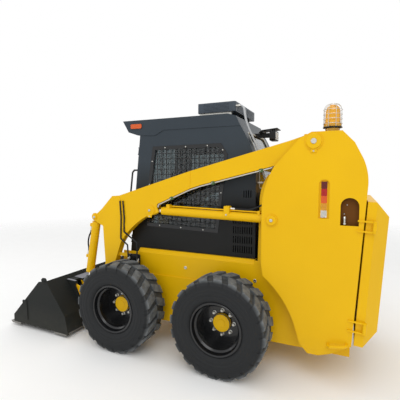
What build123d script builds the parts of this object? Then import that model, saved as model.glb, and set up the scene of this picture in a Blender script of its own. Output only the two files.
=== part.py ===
from build123d import *
import os
from math import hypot

# Skid steer loader, in millimetres. X runs forward to the bucket, Y to the left, Z up.
# The origin is on the ground, under the middle of the machine's overall length.
# Side profiles are drawn as (x, z) with x measured forward from the rear axle.

# Wheels
REAR_AXLE_X = -597.5
WHEELBASE = 1015.0
TYRE_RADIUS = 409.0
TYRE_WIDTH = 307.0
TYRE_SHOULDER = 30.0
LUG_HEIGHT = 18.0
LUG_WIDTH = 74.0
LUG_SLANT = 30.0
LUG_COUNT = 20
LUG_END = 10.0
LUG_ROOT = 50.0
TYRE_FACETS = 40
LUG_CHAMFER = 26.0
SIDEWALL_DROP = 108.0
RIM_RADIUS = 208.0
RIM_FLANGE = 14.0
RIM_FLANGE_THICKNESS = 10.7
RIM_WALL = 9.0
RIM_SET_IN = 16.0
RIM_WELL_DROP = 14.0
DISC_RECESS = 180.0
DISC_THICKNESS = 14.0
HUB_RADIUS = 77.0
HUB_CAP_HEIGHT = 30.0
STUD_CIRCLE_RADIUS = 101.6
STUD_COUNT = 8
STUD_RADIUS = 10.0
STUD_LENGTH = 20.0
AXLE_TUBE_RADIUS = 80.0
AXLE_FLANGE_RADIUS = 130.0
AXLE_FLANGE_THICKNESS = 18.0
SPINDLE_RADIUS = 34.0
SPINDLE_LENGTH = 26.0
BEARING_GAP = 0.3

# Widths, measured out from the centreline, and plate thicknesses
CAB_HALF_WIDTH = 430.0
CHASSIS_HALF_WIDTH = 488.0
PLATE = 12.0
ARM_GAP = 9.0
ARM_THICKNESS = 78.0
TOWER_GAP = 25.0
TYRE_GAP = 14.0
BUCKET_HALF_WIDTH = 850.0

# Chassis tub
CHASSIS_FRONT = 1165.0
CHASSIS_REAR = -980.0
CHASSIS_LOW = 222.0
CHASSIS_TOP = 905.0
SHOULDER_DROP = 33.0
SIDE_SHEET = 8.0
SIDE_SHEET_TOP = 667.0
CHASSIS_RAKE = 90.0
FOOTWELL_SILL = 700.0
FLOOR_SHEET = 6.0
FOOT_FLOOR = 430.0
SEAT_DECK = 760.0
SEAT_RISER_X = 640.0
DECK_REAR_X = -150.0

# Pins of the lift arms and cylinders, as (x, z) in the side profile
PIVOT = (-686.0, 1896.0)
PIVOT_BOSS_RADIUS = 66.0
PIVOT_PIN_RADIUS = 25.0
ARM_HEEL_RADIUS = 72.0
LIFT_BASE = (-377.0, 1279.0)
LIFT_EYE = (792.0, 1305.0)
LIFT_BOSS_RADIUS = 50.0
LIFT_EYE_BOSS_RADIUS = 34.0
LIFT_PIPE_RADIUS = 8.0
LIFT_PIPE_RISE = 61.0
LIFT_PIN_RADIUS = 19.0
LIFT_BARREL_RADIUS = 38.0
LIFT_BARREL_LENGTH = 1052.0
LIFT_ROD_RADIUS = 22.0
LIFT_EYE_RADIUS = 38.0
TILT_TOP = (1464.0, 1205.0)
TILT_EYE = (1612.0, 380.0)
TILT_PIN_RADIUS = 17.0
TILT_BOSS_RADIUS = 29.0
TILT_BARREL_RADIUS = 43.0
TILT_BARREL_LENGTH = 600.0
TILT_ROD_RADIUS = 21.0
TILT_EYE_RADIUS = 32.0
LIFT_ROD_START = 120.0
TILT_ROD_START = 160.0
EYE_HALF_WIDTH = 24.0
EYE_SIDE_GAP = 3.0
BORE_GAP = 0.4
PIN_HEAD = 8.0
BUCKET_PIVOT = (1510.0, 175.0)
BUCKET_PIN_RADIUS = 22.0
BUCKET_BOSS_RADIUS = 58.0

# Bucket and quick-attach frame
BUCKET_SHEET = 8.0
BUCKET_SIDE = 12.0
EDGE_THICKNESS = 20.0
EDGE_DEPTH = 150.0
EDGE_REACH = 49.0
HEEL_DEPTH = 165.0
HEEL_SET_IN = 32.0
HOOK_HALF_WIDTH = 608.0
ATTACH_HALF_WIDTH = 597.0
ATTACH_PLATE = 16.0
ATTACH_LOW = (1560.0, 120.0)
ATTACH_TOP = (1735.0, 485.0)
EAR_GAP = 5.0

# Arms
CROSS_TUBE = (1290.0, 500.0)
CROSS_TUBE_RADIUS = 50.0
REAR_TUBE = (-430.0, 1800.0)
REAR_TUBE_RADIUS = 45.0
ARM_PIPE_RADIUS = 8.0
HOSE_RADIUS = 7.5
CLAMP_LENGTH = 30.0

# Cab
CAB_WALL = 30.0
FRONT_LOW = (1113.0, 905.0)
FRONT_TOP = (998.0, 2021.0)
FRONT_LEG_X = 1000.0
CAB_REAR = -205.0
FLANGE_WIDTH = 100.0
ROOF_HALF_WIDTH = 436.0
SIDE_TOP_Z = 2035.8
SIDE_FOOT_Z = 735.0
ROOF_TOP = 2186.0
ROOF_EDGE = 2076.0
GLASS = 6.0
GUARD = 5.0
GUARD_BAR = 6.0
GUARD_COLUMNS = 16
GUARD_ROWS = 15
DOOR_HALF_WIDTH = 392.0
DOOR_LOW_RUN = -170.0
DOOR_TOP_RUN = 1115.0
DOOR_THICKNESS = 34.0
DOOR_RAIL = 55.0
GRAB_Y = 416.0
GRAB_REACH = 68.0
GRAB_SET_OFF = 1.0
GRAB_TOP = 1690.0
GRAB_LOW = 1400.0
GRAB_BEND = 22.0
REAR_WINDOW_Z = 1775.0
REAR_WINDOW_WIDTH = 620.0
REAR_WINDOW_HEIGHT = 510.0
REAR_PANE_SET_IN = 12.0
REAR_WINDOW_CORNER = 40.0
AC_HALF_WIDTH = 330.0
AC_HEIGHT = 88.0
AC_FRONT = 411.0
AC_REAR = 32.0
AC_RAIL = 41.0
REAR_LAMP_BRACKET = 60.0
MARKER_DEPTH = 10.0
LIFTING_HOLES_X = 560.0
LIFTING_HOLES_LENGTH = 900.0
LIFTING_HOLES_WIDTH = 740.0
LIFTING_HOLE_RADIUS = 8.5

# Rear end
TOWER_WEB = 10.0
LAMP_BACKING = 5.0
LAMP_DEPTH = 9.0
ENGINE_X = -550.0
HOOD_HINGE = (-270.0, 1455.0)
HOOD_PIN_RADIUS = 9.0
HOOD_PIN_REACH = 30.0
DOOR_HINGE_Y = 620.0
REAR_HINGES = (1271.0, 522.0)
HINGE_PIN_RADIUS = 8.0
HINGE_KNUCKLE_RADIUS = 15.0
HINGE_KNUCKLE_LENGTH = 60.0
HINGE_LUG = 12.0
HINGE_LEAF = 13.0
HINGE_REACH = 110.0
HINGE_PLAY = 1.0
CAB_HINGE_Y = 400.0
CAB_HINGE_OUT = 14.0
CAB_HINGES = (80.0, 400.0, 980.0)
CAB_HINGE_LEAF = 22.0
CAB_KNUCKLE_RADIUS = 10.0
CAB_KNUCKLE_LENGTH = 50.0
CAB_PIN_RADIUS = 5.0
HOOD_HALF_WIDTH = 468.0
HOOD_EDGE = 1430.0
REAR_DOOR_HALF_WIDTH = 600.0
REAR_DOOR_LOW = (-1005.0, 372.0)
REAR_DOOR_TOP = (-1068.0, 1450.0)
REAR_DOOR_BASE = 60.0
REAR_DOOR_BEVEL = 92.0
REAR_DOOR_INSET = 104.0
REAR_DOOR_SHEET = 5.0

# Values that follow from the ones above
FRONT_AXLE_X = REAR_AXLE_X + WHEELBASE
ARM_IN_Y = CHASSIS_HALF_WIDTH + ARM_GAP
ARM_OUT_Y = ARM_IN_Y + ARM_THICKNESS
ARM_MID_Y = (ARM_IN_Y + ARM_OUT_Y) / 2
TOWER_IN_Y = ARM_OUT_Y + TOWER_GAP
TOWER_OUT_Y = TOWER_IN_Y + PLATE
TYRE_IN_Y = ARM_OUT_Y + TYRE_GAP
TYRE_OUT_Y = TYRE_IN_Y + TYRE_WIDTH
ROD_WINDOW = 80.0
ROD_WINDOW_DROP = 70.0
EYE_SLOT = EYE_HALF_WIDTH + EYE_SIDE_GAP


def side_plane(y):
    """Plane at width y: its x is measured from the rear axle, its y is height, it extrudes to -Y."""
    return Plane(origin=(REAR_AXLE_X, y, 0), x_dir=(1, 0, 0), z_dir=(0, -1, 0))


def profile_point(point, y):
    """A point of the side profile as a point in space."""
    return (REAR_AXLE_X + point[0], y, point[1])


def line_plane(start, end, y):
    """Plane at start whose normal runs along the line from start to end in the side profile."""
    direction = (end[0] - start[0], 0, end[1] - start[1])
    return Plane(origin=profile_point(start, y), x_dir=(0, 1, 0), z_dir=direction)


def distance(start, end):
    return hypot(end[0] - start[0], end[1] - start[1])


def at_length(start, end, length):
    """The point that lies at a length from start towards end."""
    share = length / distance(start, end)
    return (start[0] + share * (end[0] - start[0]), start[1] + share * (end[1] - start[1]))


def front_x(height):
    """Where the cab's leaning front edge stands at a height."""
    share = (height - FRONT_LOW[1]) / (FRONT_TOP[1] - FRONT_LOW[1])
    return FRONT_LOW[0] + share * (FRONT_TOP[0] - FRONT_LOW[0])


def front_plane(y):
    """Plane of the cab's leaning front at a width: x runs to the left, y up the front edge."""
    rise = (FRONT_TOP[0] - FRONT_LOW[0], 0, FRONT_TOP[1] - FRONT_LOW[1])
    return Plane(origin=profile_point(FRONT_LOW, y), x_dir=(0, 1, 0), z_dir=(rise[2], 0, -rise[0]))


def cab_hinge_plane(run):
    """Plane across the cab door's hinge line at a length up the front edge: its x runs forward."""
    front = front_plane(CAB_HINGE_Y)
    return Plane(
        origin=front.from_local_coords((0, run, CAB_HINGE_OUT)),
        x_dir=front.z_dir,
        z_dir=front.y_dir,
    )


def rear_hinge_plane(height):
    """Plane across the rear door's leaning hinge line at a height: its x runs forward."""
    run = distance(REAR_DOOR_LOW, REAR_DOOR_TOP)
    lean = ((REAR_DOOR_TOP[0] - REAR_DOOR_LOW[0]) / run, (REAR_DOOR_TOP[1] - REAR_DOOR_LOW[1]) / run)
    along = (height - REAR_DOOR_LOW[1]) / lean[1]
    front = (REAR_DOOR_LOW[0] + along * lean[0], height)
    pin = (front[0] - REAR_DOOR_BASE * lean[1], front[1] + REAR_DOOR_BASE * lean[0])
    return Plane(
        origin=profile_point(pin, DOOR_HINGE_Y),
        x_dir=(lean[1], 0, -lean[0]),
        z_dir=(lean[0], 0, lean[1]),
    )


def save(piece, name):
    piece.label = name
    export_step(piece, f"parts/{name}.step")


os.makedirs("parts", exist_ok=True)

# Chassis tub: side plates, belly and a kick plate at the front of the footwell
with BuildPart() as chassis_frame:
    with BuildSketch(side_plane(CHASSIS_HALF_WIDTH)):
        Polygon(
            (CHASSIS_FRONT, CHASSIS_TOP - SHOULDER_DROP),
            (CHASSIS_FRONT, CHASSIS_LOW + CHASSIS_RAKE),
            (CHASSIS_FRONT - CHASSIS_RAKE, CHASSIS_LOW),
            (CHASSIS_REAR, CHASSIS_LOW),
            (CHASSIS_REAR, CHASSIS_TOP),
            (CAB_REAR, CHASSIS_TOP),
            (CAB_REAR, CHASSIS_TOP - SHOULDER_DROP),
            align=None,
        )
    extrude(amount=2 * CHASSIS_HALF_WIDTH)
    with BuildSketch(side_plane(CHASSIS_HALF_WIDTH - PLATE)):
        Polygon(
            (CHASSIS_FRONT - PLATE, CHASSIS_TOP + PLATE),
            (CHASSIS_FRONT - PLATE, CHASSIS_LOW + CHASSIS_RAKE + PLATE / 2),
            (CHASSIS_FRONT - CHASSIS_RAKE - PLATE / 2, CHASSIS_LOW + PLATE),
            (CHASSIS_REAR - PLATE, CHASSIS_LOW + PLATE),
            (CHASSIS_REAR - PLATE, CHASSIS_TOP + PLATE),
            align=None,
        )
    extrude(amount=2 * (CHASSIS_HALF_WIDTH - PLATE), mode=Mode.SUBTRACT)
    with BuildSketch(side_plane(CHASSIS_HALF_WIDTH - PLATE)):
        with Locations((CHASSIS_FRONT, (FOOTWELL_SILL + CHASSIS_TOP + PLATE) / 2)):
            Rectangle(4 * PLATE, CHASSIS_TOP + PLATE - FOOTWELL_SILL)
    extrude(amount=2 * (CHASSIS_HALF_WIDTH - PLATE), mode=Mode.SUBTRACT)
    # Top flanges, bevelled outside, which the cab stands on
    for side in (1, -1):
        with BuildSketch(Plane.YZ.offset(REAR_AXLE_X + CAB_REAR)):
            Polygon(
                (side * CHASSIS_HALF_WIDTH, CHASSIS_TOP - SHOULDER_DROP),
                (side * (CHASSIS_HALF_WIDTH - SHOULDER_DROP), CHASSIS_TOP),
                (side * (CHASSIS_HALF_WIDTH - FLANGE_WIDTH), CHASSIS_TOP),
                (side * (CHASSIS_HALF_WIDTH - FLANGE_WIDTH), CHASSIS_TOP - PLATE),
                (side * (CHASSIS_HALF_WIDTH - SHOULDER_DROP - PLATE / 2), CHASSIS_TOP - PLATE),
                (side * (CHASSIS_HALF_WIDTH - PLATE), CHASSIS_TOP - SHOULDER_DROP - PLATE / 2),
                align=None,
            )
        extrude(amount=FRONT_LEG_X - PLATE - CAB_REAR)
        # Thicker lower side, whose top edge shows as a line
        sheet_y = CHASSIS_HALF_WIDTH + SIDE_SHEET if side > 0 else -CHASSIS_HALF_WIDTH
        with BuildSketch(side_plane(sheet_y)):
            Polygon(
                (CHASSIS_FRONT, SIDE_SHEET_TOP),
                (CHASSIS_FRONT, CHASSIS_LOW + CHASSIS_RAKE),
                (CHASSIS_FRONT - CHASSIS_RAKE, CHASSIS_LOW),
                (CAB_REAR, CHASSIS_LOW),
                (CAB_REAR, SIDE_SHEET_TOP),
                align=None,
            )
        extrude(amount=SIDE_SHEET)
save(chassis_frame.part, "chassis_frame")

# Cab floor: one bent sheet that makes the foot floor, the riser and the seat deck
with BuildPart() as cab_floor:
    with BuildSketch(side_plane(CHASSIS_HALF_WIDTH - PLATE)):
        Polygon(
            (CHASSIS_FRONT - PLATE, FOOT_FLOOR),
            (CHASSIS_FRONT - PLATE, FOOT_FLOOR + FLOOR_SHEET),
            (SEAT_RISER_X + FLOOR_SHEET, FOOT_FLOOR + FLOOR_SHEET),
            (SEAT_RISER_X + FLOOR_SHEET, SEAT_DECK + FLOOR_SHEET),
            (DECK_REAR_X, SEAT_DECK + FLOOR_SHEET),
            (DECK_REAR_X, SEAT_DECK),
            (SEAT_RISER_X, SEAT_DECK),
            (SEAT_RISER_X, FOOT_FLOOR),
            align=None,
        )
    extrude(amount=2 * (CHASSIS_HALF_WIDTH - PLATE))
save(cab_floor.part, "cab_floor")

# Axle housings: a bolted flange, a tube and the spindle that the hub turns on
DISC_OUT_Y = TYRE_OUT_Y - RIM_SET_IN - DISC_RECESS
HUB_IN_Y = DISC_OUT_Y - DISC_THICKNESS - 40.0
with BuildPart() as axle_housings:
    seat_y = CHASSIS_HALF_WIDTH + SIDE_SHEET
    for side in (1, -1):
        for axle_x in (FRONT_AXLE_X, REAR_AXLE_X):
            axle_plane = Plane(
                origin=(axle_x, side * seat_y, TYRE_RADIUS),
                x_dir=(1, 0, 0),
                z_dir=(0, side, 0),
            )
            tube_length = HUB_IN_Y - BEARING_GAP - seat_y
            with BuildSketch(axle_plane):
                Circle(AXLE_FLANGE_RADIUS)
            extrude(amount=AXLE_FLANGE_THICKNESS)
            with BuildSketch(axle_plane):
                Circle(AXLE_TUBE_RADIUS)
            extrude(amount=tube_length)
            with BuildSketch(axle_plane):
                Circle(SPINDLE_RADIUS)
            extrude(amount=tube_length + SPINDLE_LENGTH)
save(axle_housings.part, "axle_housings")

# Tower: outer plate with the wheel arch, inner plate, and a web round the rear
TOWER_OUTLINE_TOP = PIVOT[1] + 71.0
with BuildPart() as tower_body:
    with BuildSketch(side_plane(TOWER_OUT_Y)) as tower_outline:
        with BuildLine():
            front = Polyline((-676, 247), (-614, 315), (-572, 454))
            arch = ThreePointArc(front @ 1, (-455, 672), (-312, 817))
            edge = Polyline(arch @ 1, (-295, 931), (-295, 1342))
            brow = ThreePointArc(edge @ 1, (-320, 1545), (-389, 1708))
            crown = Polyline(
                brow @ 1,
                (-577, 1918),
                (-668, TOWER_OUTLINE_TOP),
                (-883, TOWER_OUTLINE_TOP),
                (-968, 1878),
                (-1028, 1760),
            )
            back = ThreePointArc(crown @ 1, (-1058, 1660), (-1065, 1571))
            Polyline(back @ 1, (-989, 363), (-844, 277), (-758, 247), (-676, 247))
        make_face()
    extrude(amount=TOWER_OUT_Y - CHASSIS_HALF_WIDTH)
    with BuildSketch(side_plane(TOWER_IN_Y)):
        offset(tower_outline.sketch_local, amount=-TOWER_WEB)
        Polygon(
            (-312 - 40, 817 + TOWER_WEB + 20),
            (-150, 817 + TOWER_WEB + 20),
            (-150, 2100),
            (-743, 2100),
            (-743, 1900),
            (-500, 1700),
            align=None,
        )
    extrude(amount=TOWER_IN_Y - CHASSIS_HALF_WIDTH, mode=Mode.SUBTRACT)
    with BuildSketch(side_plane(CHASSIS_HALF_WIDTH)):
        with BuildLine():
            inner = Polyline((-1020, CHASSIS_TOP), (-238, CHASSIS_TOP), (-247, 1428))
            brow = ThreePointArc(inner @ 1, (-268, 1549), (-316, 1645))
            Polyline(
                brow @ 1,
                (-450, 1690),
                (-540, 1800),
                (-600, TOWER_OUTLINE_TOP),
                (-883, TOWER_OUTLINE_TOP),
                (-968, 1878),
                (-1028, 1760),
                (-1065, 1571),
                (-1024, CHASSIS_TOP),
                (-1020, CHASSIS_TOP),
            )
        make_face()
    extrude(amount=PLATE)
    # Tail lamp slot and the rounded opening beside it
    with BuildSketch(side_plane(TOWER_OUT_Y)):
        with BuildLine():
            slot = Polyline((-731, 1570), (-731, 1314), (-807, 1314), (-807, 1570))
            ThreePointArc(slot @ 1, (-769, 1608), slot @ 0)
        make_face()
        with BuildLine():
            port = Polyline((-886, 1411), (-886, 1269), (-1012, 1269), (-1012, 1411))
            ThreePointArc(port @ 1, (-949, 1475), port @ 0)
        make_face()
    extrude(amount=PLATE, mode=Mode.SUBTRACT)
    # Bosses for the arm pivot and the foot of the lift cylinder, with their pins
    for centre, boss_radius, pin_radius in (
        (PIVOT, PIVOT_BOSS_RADIUS, PIVOT_PIN_RADIUS),
        (LIFT_BASE, LIFT_BOSS_RADIUS, LIFT_PIN_RADIUS),
    ):
        with BuildSketch(side_plane(TOWER_OUT_Y + PIN_HEAD)):
            with Locations(centre):
                Circle(boss_radius)
        extrude(amount=PIN_HEAD)
        with BuildSketch(side_plane(TOWER_OUT_Y + PIN_HEAD + 6.0)):
            with Locations(centre):
                Circle(pin_radius)
        extrude(amount=TOWER_OUT_Y + PIN_HEAD + 6.0 - CHASSIS_HALF_WIDTH)
    # Bent bar to tie the machine down by
    with BuildLine() as tie_path:
        Polyline(
            (REAR_AXLE_X - 826, TOWER_OUT_Y - 4, 350),
            (REAR_AXLE_X - 826, TOWER_OUT_Y + 28, 350),
            (REAR_AXLE_X - 844, TOWER_OUT_Y + 46, 353),
            (REAR_AXLE_X - 937, TOWER_OUT_Y + 46, 369),
            (REAR_AXLE_X - 955, TOWER_OUT_Y + 28, 372),
            (REAR_AXLE_X - 955, TOWER_OUT_Y - 4, 372),
        )
    with BuildSketch(Plane(origin=tie_path.line @ 0, z_dir=tie_path.line % 0)):
        Circle(11)
    sweep(transition=Transition.RIGHT)
    # Pin that the engine hood turns on
    with BuildSketch(side_plane(CHASSIS_HALF_WIDTH)):
        with Locations(HOOD_HINGE):
            Circle(HOOD_PIN_RADIUS)
    extrude(amount=PLATE + HOOD_PIN_REACH)

with BuildPart() as tower_right:
    mirror(tower_body.part, about=Plane.XZ)
save(tower_right.part, "tower_right")

# The left tower also carries the lugs and pins of the rear door's hinges
with BuildPart() as tower_left:
    add(tower_body.part)
    for height in REAR_HINGES:
        for end in (1, -1):
            lug_middle = end * (HINGE_KNUCKLE_LENGTH / 2 + HINGE_PLAY + HINGE_LUG / 2)
            with BuildSketch(rear_hinge_plane(height).offset(lug_middle)):
                with Locations((0, 0)):
                    Circle(HINGE_KNUCKLE_RADIUS)
                with Locations((REAR_DOOR_BASE, TOWER_OUT_Y - DOOR_HINGE_Y + HINGE_LEAF / 2)):
                    Rectangle(HINGE_REACH, HINGE_LEAF)
            extrude(amount=HINGE_LUG / 2, both=True)
        with BuildSketch(rear_hinge_plane(height)):
            Circle(HINGE_PIN_RADIUS)
        extrude(amount=HINGE_KNUCKLE_LENGTH / 2 + HINGE_PLAY + HINGE_LUG, both=True)
save(tower_left.part, "tower_left")

# Engine: one block on four feet, behind the cab
with BuildPart() as engine_block:
    with BuildSketch(Plane.XY.offset(330)):
        with Locations((REAR_AXLE_X + ENGINE_X, 0)):
            Rectangle(640, 460)
    extrude(amount=620)
    with BuildSketch(Plane.XY.offset(CHASSIS_LOW + PLATE)):
        with Locations((REAR_AXLE_X + ENGINE_X, 0)):
            with GridLocations(480, 340, 2, 2):
                Circle(38)
    extrude(amount=330 - CHASSIS_LOW - PLATE)
save(engine_block.part, "engine_block")

# Tail lamps: a backing plate behind each slot, and the lens that stands on it
with BuildPart() as tail_lamps:
    for side in (1, -1):
        backing_y = TOWER_IN_Y if side > 0 else -TOWER_IN_Y + LAMP_BACKING
        with BuildSketch(side_plane(backing_y)):
            with Locations((-769, 1461)):
                Rectangle(96, 330)
        extrude(amount=LAMP_BACKING)
        with BuildSketch(side_plane(TOWER_IN_Y + LAMP_DEPTH if side > 0 else -TOWER_IN_Y)):
            with Locations((-769, 1457)):
                RectangleRounded(50, 272, 16)
        extrude(amount=LAMP_DEPTH)
save(tail_lamps.part, "tail_lamps")

# Beacon on the left tower: base, cup and dome
BEACON_AT = (-811.0, 555.0)
DOME_RADIUS = 52.0
with BuildPart() as beacon_turned:
    with BuildSketch(Plane.XZ):
        with BuildLine():
            Polyline(
                (0, 0), (52, 0), (52, 28), (64, 32), (64, 58), (56, 62), (DOME_RADIUS, 150),
                (0.87 * DOME_RADIUS, 150 + 0.5 * DOME_RADIUS), (0.5 * DOME_RADIUS, 150 + 0.87 * DOME_RADIUS),
                (0, 150 + DOME_RADIUS), (0, 0),
            )
        make_face()
    revolve(axis=Axis.Z)
beacon = Location((REAR_AXLE_X + BEACON_AT[0], BEACON_AT[1], TOWER_OUTLINE_TOP)) * beacon_turned.part
save(beacon, "beacon")

# Cab roof: a deep cap with a visor, open below
ROOF_PROFILE = (
    (1200, ROOF_TOP),
    (66, ROOF_TOP),
    (-8, 2163),
    (-50, ROOF_EDGE),
    (720, ROOF_EDGE),
    (822, 2028),
    (1022, 2037),
    (1131, 2072),
)
with BuildPart() as cab_roof:
    with BuildSketch(side_plane(ROOF_HALF_WIDTH)):
        Polygon(*ROOF_PROFILE, align=None)
    extrude(amount=2 * ROOF_HALF_WIDTH)
    with BuildSketch(side_plane(CAB_HALF_WIDTH - CAB_WALL)):
        Polygon(
            (960, ROOF_TOP - CAB_WALL),
            (40, ROOF_TOP - CAB_WALL),
            (0, 2000),
            (960, 2000),
            align=None,
        )
    extrude(amount=2 * (CAB_HALF_WIDTH - CAB_WALL), mode=Mode.SUBTRACT)
    with BuildSketch(Plane.XY.offset(ROOF_TOP)):
        with Locations((REAR_AXLE_X + LIFTING_HOLES_X, 0)):
            with GridLocations(LIFTING_HOLES_LENGTH, LIFTING_HOLES_WIDTH, 2, 2):
                Circle(LIFTING_HOLE_RADIUS)
    extrude(amount=-CAB_WALL, mode=Mode.SUBTRACT)
save(cab_roof.part, "cab_roof")

# Cab sides, with the window cut through
SIDE_WINDOW = ((817, 1886), (149, 1894), (100, 1821), (182, 1146), (885, 1165), (885, 1432))
with BuildPart() as cab_side_panel:
    with BuildSketch(side_plane(CAB_HALF_WIDTH)):
        with BuildLine():
            foot = Polyline(
                (front_x(SIDE_TOP_Z), SIDE_TOP_Z),
                (front_x(SIDE_FOOT_Z), SIDE_FOOT_Z),
                (FRONT_LEG_X, SIDE_FOOT_Z),
                (FRONT_LEG_X, CHASSIS_TOP),
                (-199, CHASSIS_TOP),
                (-194, 1746),
            )
            rear = ThreePointArc(foot @ 1, (-138, 1905), (-50, ROOF_EDGE))
            Polyline(rear @ 1, (720, ROOF_EDGE), (822, 2028), foot @ 0)
        make_face()
        Polygon(*SIDE_WINDOW, align=None, mode=Mode.SUBTRACT)
        # Air slots at the rear
        for slots_x, slots_z, columns, rows in (((-121), 1475, 4, 1), ((-81), 1108, 9, 4)):
            with Locations((slots_x, slots_z)):
                with GridLocations(21, 86, columns, rows):
                    SlotOverall(66, 9, rotation=90, mode=Mode.SUBTRACT)
    extrude(amount=CAB_WALL)

with BuildPart() as cab_side_right:
    mirror(cab_side_panel.part, about=Plane.XZ)
save(cab_side_right.part, "cab_side_right")

# The left side also carries the lugs and pins of the cab door's hinges
with BuildPart() as cab_side_left:
    add(cab_side_panel.part)
    for run in CAB_HINGES:
        for end in (1, -1):
            lug_middle = end * (CAB_KNUCKLE_LENGTH / 2 + HINGE_PLAY + HINGE_LUG / 2)
            with BuildSketch(cab_hinge_plane(run).offset(lug_middle)):
                Circle(CAB_KNUCKLE_RADIUS)
                with Locations((-CAB_HINGE_OUT / 2, CAB_HINGE_LEAF / 2)):
                    Rectangle(CAB_HINGE_OUT, CAB_HINGE_LEAF)
            extrude(amount=HINGE_LUG / 2, both=True)
        with BuildSketch(cab_hinge_plane(run)):
            Circle(CAB_PIN_RADIUS)
        extrude(amount=CAB_KNUCKLE_LENGTH / 2 + HINGE_PLAY + HINGE_LUG, both=True)
save(cab_side_left.part, "cab_side_left")

# Rear wall of the cab, between the sides, with the rear window cut through
with BuildPart() as cab_rear_wall:
    with BuildSketch(side_plane(CAB_HALF_WIDTH - CAB_WALL)):
        with BuildLine():
            outer = Polyline((-199, CHASSIS_TOP), (-194, 1746))
            curve = ThreePointArc(outer @ 1, (-138, 1905), (-50, ROOF_EDGE))
            top = Line(curve @ 1, (-50 + CAB_WALL, ROOF_EDGE))
            inner = ThreePointArc(top @ 1, (-138 + CAB_WALL, 1895), (-194 + CAB_WALL, 1740))
            Polyline(inner @ 1, (-199 + CAB_WALL, CHASSIS_TOP), outer @ 0)
        make_face()
    extrude(amount=2 * (CAB_HALF_WIDTH - CAB_WALL))
    with BuildSketch(Plane.YZ.offset(REAR_AXLE_X - 250)):
        with Locations((0, REAR_WINDOW_Z)):
            RectangleRounded(REAR_WINDOW_WIDTH, REAR_WINDOW_HEIGHT, REAR_WINDOW_CORNER)
    extrude(amount=300, mode=Mode.SUBTRACT)
save(cab_rear_wall.part, "cab_rear_wall")

# Window panes, and the guard plates bolted over the side windows
with BuildPart() as cab_windows:
    for pane_y in (CAB_HALF_WIDTH - CAB_WALL / 2, -(CAB_HALF_WIDTH - CAB_WALL / 2) + GLASS):
        with BuildSketch(side_plane(pane_y)):
            Polygon(*SIDE_WINDOW, align=None)
        extrude(amount=GLASS)
    # Rear pane, bent like the wall round it
    with BuildPart(mode=Mode.PRIVATE) as rear_pane:
        with BuildSketch(side_plane(REAR_WINDOW_WIDTH / 2)):
            with BuildLine():
                low = Line((-199 + REAR_PANE_SET_IN, 1450), (-194 + REAR_PANE_SET_IN, 1746))
                bend = ThreePointArc(low @ 1, (-127, 1900), (-39, 2070))
                across = Line(bend @ 1, (-39 + GLASS, 2067))
                back = ThreePointArc(across @ 1, (-127 + GLASS, 1897), (-194 + REAR_PANE_SET_IN + GLASS, 1744))
                Polyline(back @ 1, (-199 + REAR_PANE_SET_IN + GLASS, 1450), low @ 0)
            make_face()
        extrude(amount=REAR_WINDOW_WIDTH)
        with BuildSketch(Plane.YZ.offset(REAR_AXLE_X - 250)):
            with Locations((0, REAR_WINDOW_Z)):
                RectangleRounded(REAR_WINDOW_WIDTH, REAR_WINDOW_HEIGHT, REAR_WINDOW_CORNER)
        extrude(amount=300, mode=Mode.INTERSECT)
    add(rear_pane.part)
save(cab_windows.part, "cab_windows")

with BuildPart() as window_guards:
    for guard_y in (CAB_HALF_WIDTH + GUARD, -CAB_HALF_WIDTH):
        with BuildSketch(side_plane(guard_y)) as guard_outline:
            Polygon(*SIDE_WINDOW, align=None)
            offset(amount=34, kind=Kind.INTERSECTION)
        extrude(amount=GUARD)
        with BuildSketch(side_plane(guard_y)):
            Polygon(*SIDE_WINDOW, align=None)
            with Locations((492, 1520)):
                with GridLocations(800 / GUARD_COLUMNS, 0, GUARD_COLUMNS + 1, 1):
                    Rectangle(GUARD_BAR, 800, mode=Mode.SUBTRACT)
                with GridLocations(0, 760 / GUARD_ROWS, 1, GUARD_ROWS + 1):
                    Rectangle(820, GUARD_BAR, mode=Mode.SUBTRACT)
        extrude(amount=GUARD, mode=Mode.SUBTRACT)
save(window_guards.part, "window_guards")

# Roof cooling unit on two rails
with BuildPart() as roof_unit:
    with BuildSketch(Plane.XY.offset(ROOF_TOP + AC_RAIL)):
        with Locations((REAR_AXLE_X + (AC_FRONT + AC_REAR) / 2, 0)):
            RectangleRounded(AC_FRONT - AC_REAR, 2 * AC_HALF_WIDTH, 20)
    extrude(amount=AC_HEIGHT)
    for rail_y in (-AC_HALF_WIDTH + 40, AC_HALF_WIDTH - 40):
        with BuildSketch(Plane.XY.offset(ROOF_TOP)):
            with Locations((REAR_AXLE_X + (AC_FRONT + AC_REAR) / 2 + 20, rail_y)):
                Rectangle(AC_FRONT - AC_REAR - 60, 24)
        extrude(amount=AC_RAIL)
save(roof_unit.part, "roof_unit")

# Seat: cushion and backrest on a riser that stands on the deck
with BuildPart() as seat:
    with BuildSketch(side_plane(240)):
        Polygon(
            (60, SEAT_DECK + FLOOR_SHEET),
            (560, SEAT_DECK + FLOOR_SHEET),
            (560, SEAT_DECK + 90),
            (600, SEAT_DECK + 100),
            (600, SEAT_DECK + 190),
            (180, SEAT_DECK + 170),
            (80, SEAT_DECK + 760),
            (-30, SEAT_DECK + 750),
            (40, SEAT_DECK + 90),
            (60, SEAT_DECK + 90),
            align=None,
        )
    extrude(amount=480)
save(seat.part, "seat")

# Control boxes beside the seat, each with its lever
with BuildPart() as controls:
    for side in (1, -1):
        with BuildSketch(Plane.XY.offset(SEAT_DECK + FLOOR_SHEET)):
            with Locations((REAR_AXLE_X + 420, side * 330)):
                Rectangle(420, 110)
        extrude(amount=240)
        with BuildSketch(Plane.XY.offset(SEAT_DECK + FLOOR_SHEET + 240)):
            with Locations((REAR_AXLE_X + 560, side * 300)):
                Circle(14)
        extrude(amount=160)
save(controls.part, "controls")

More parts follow.
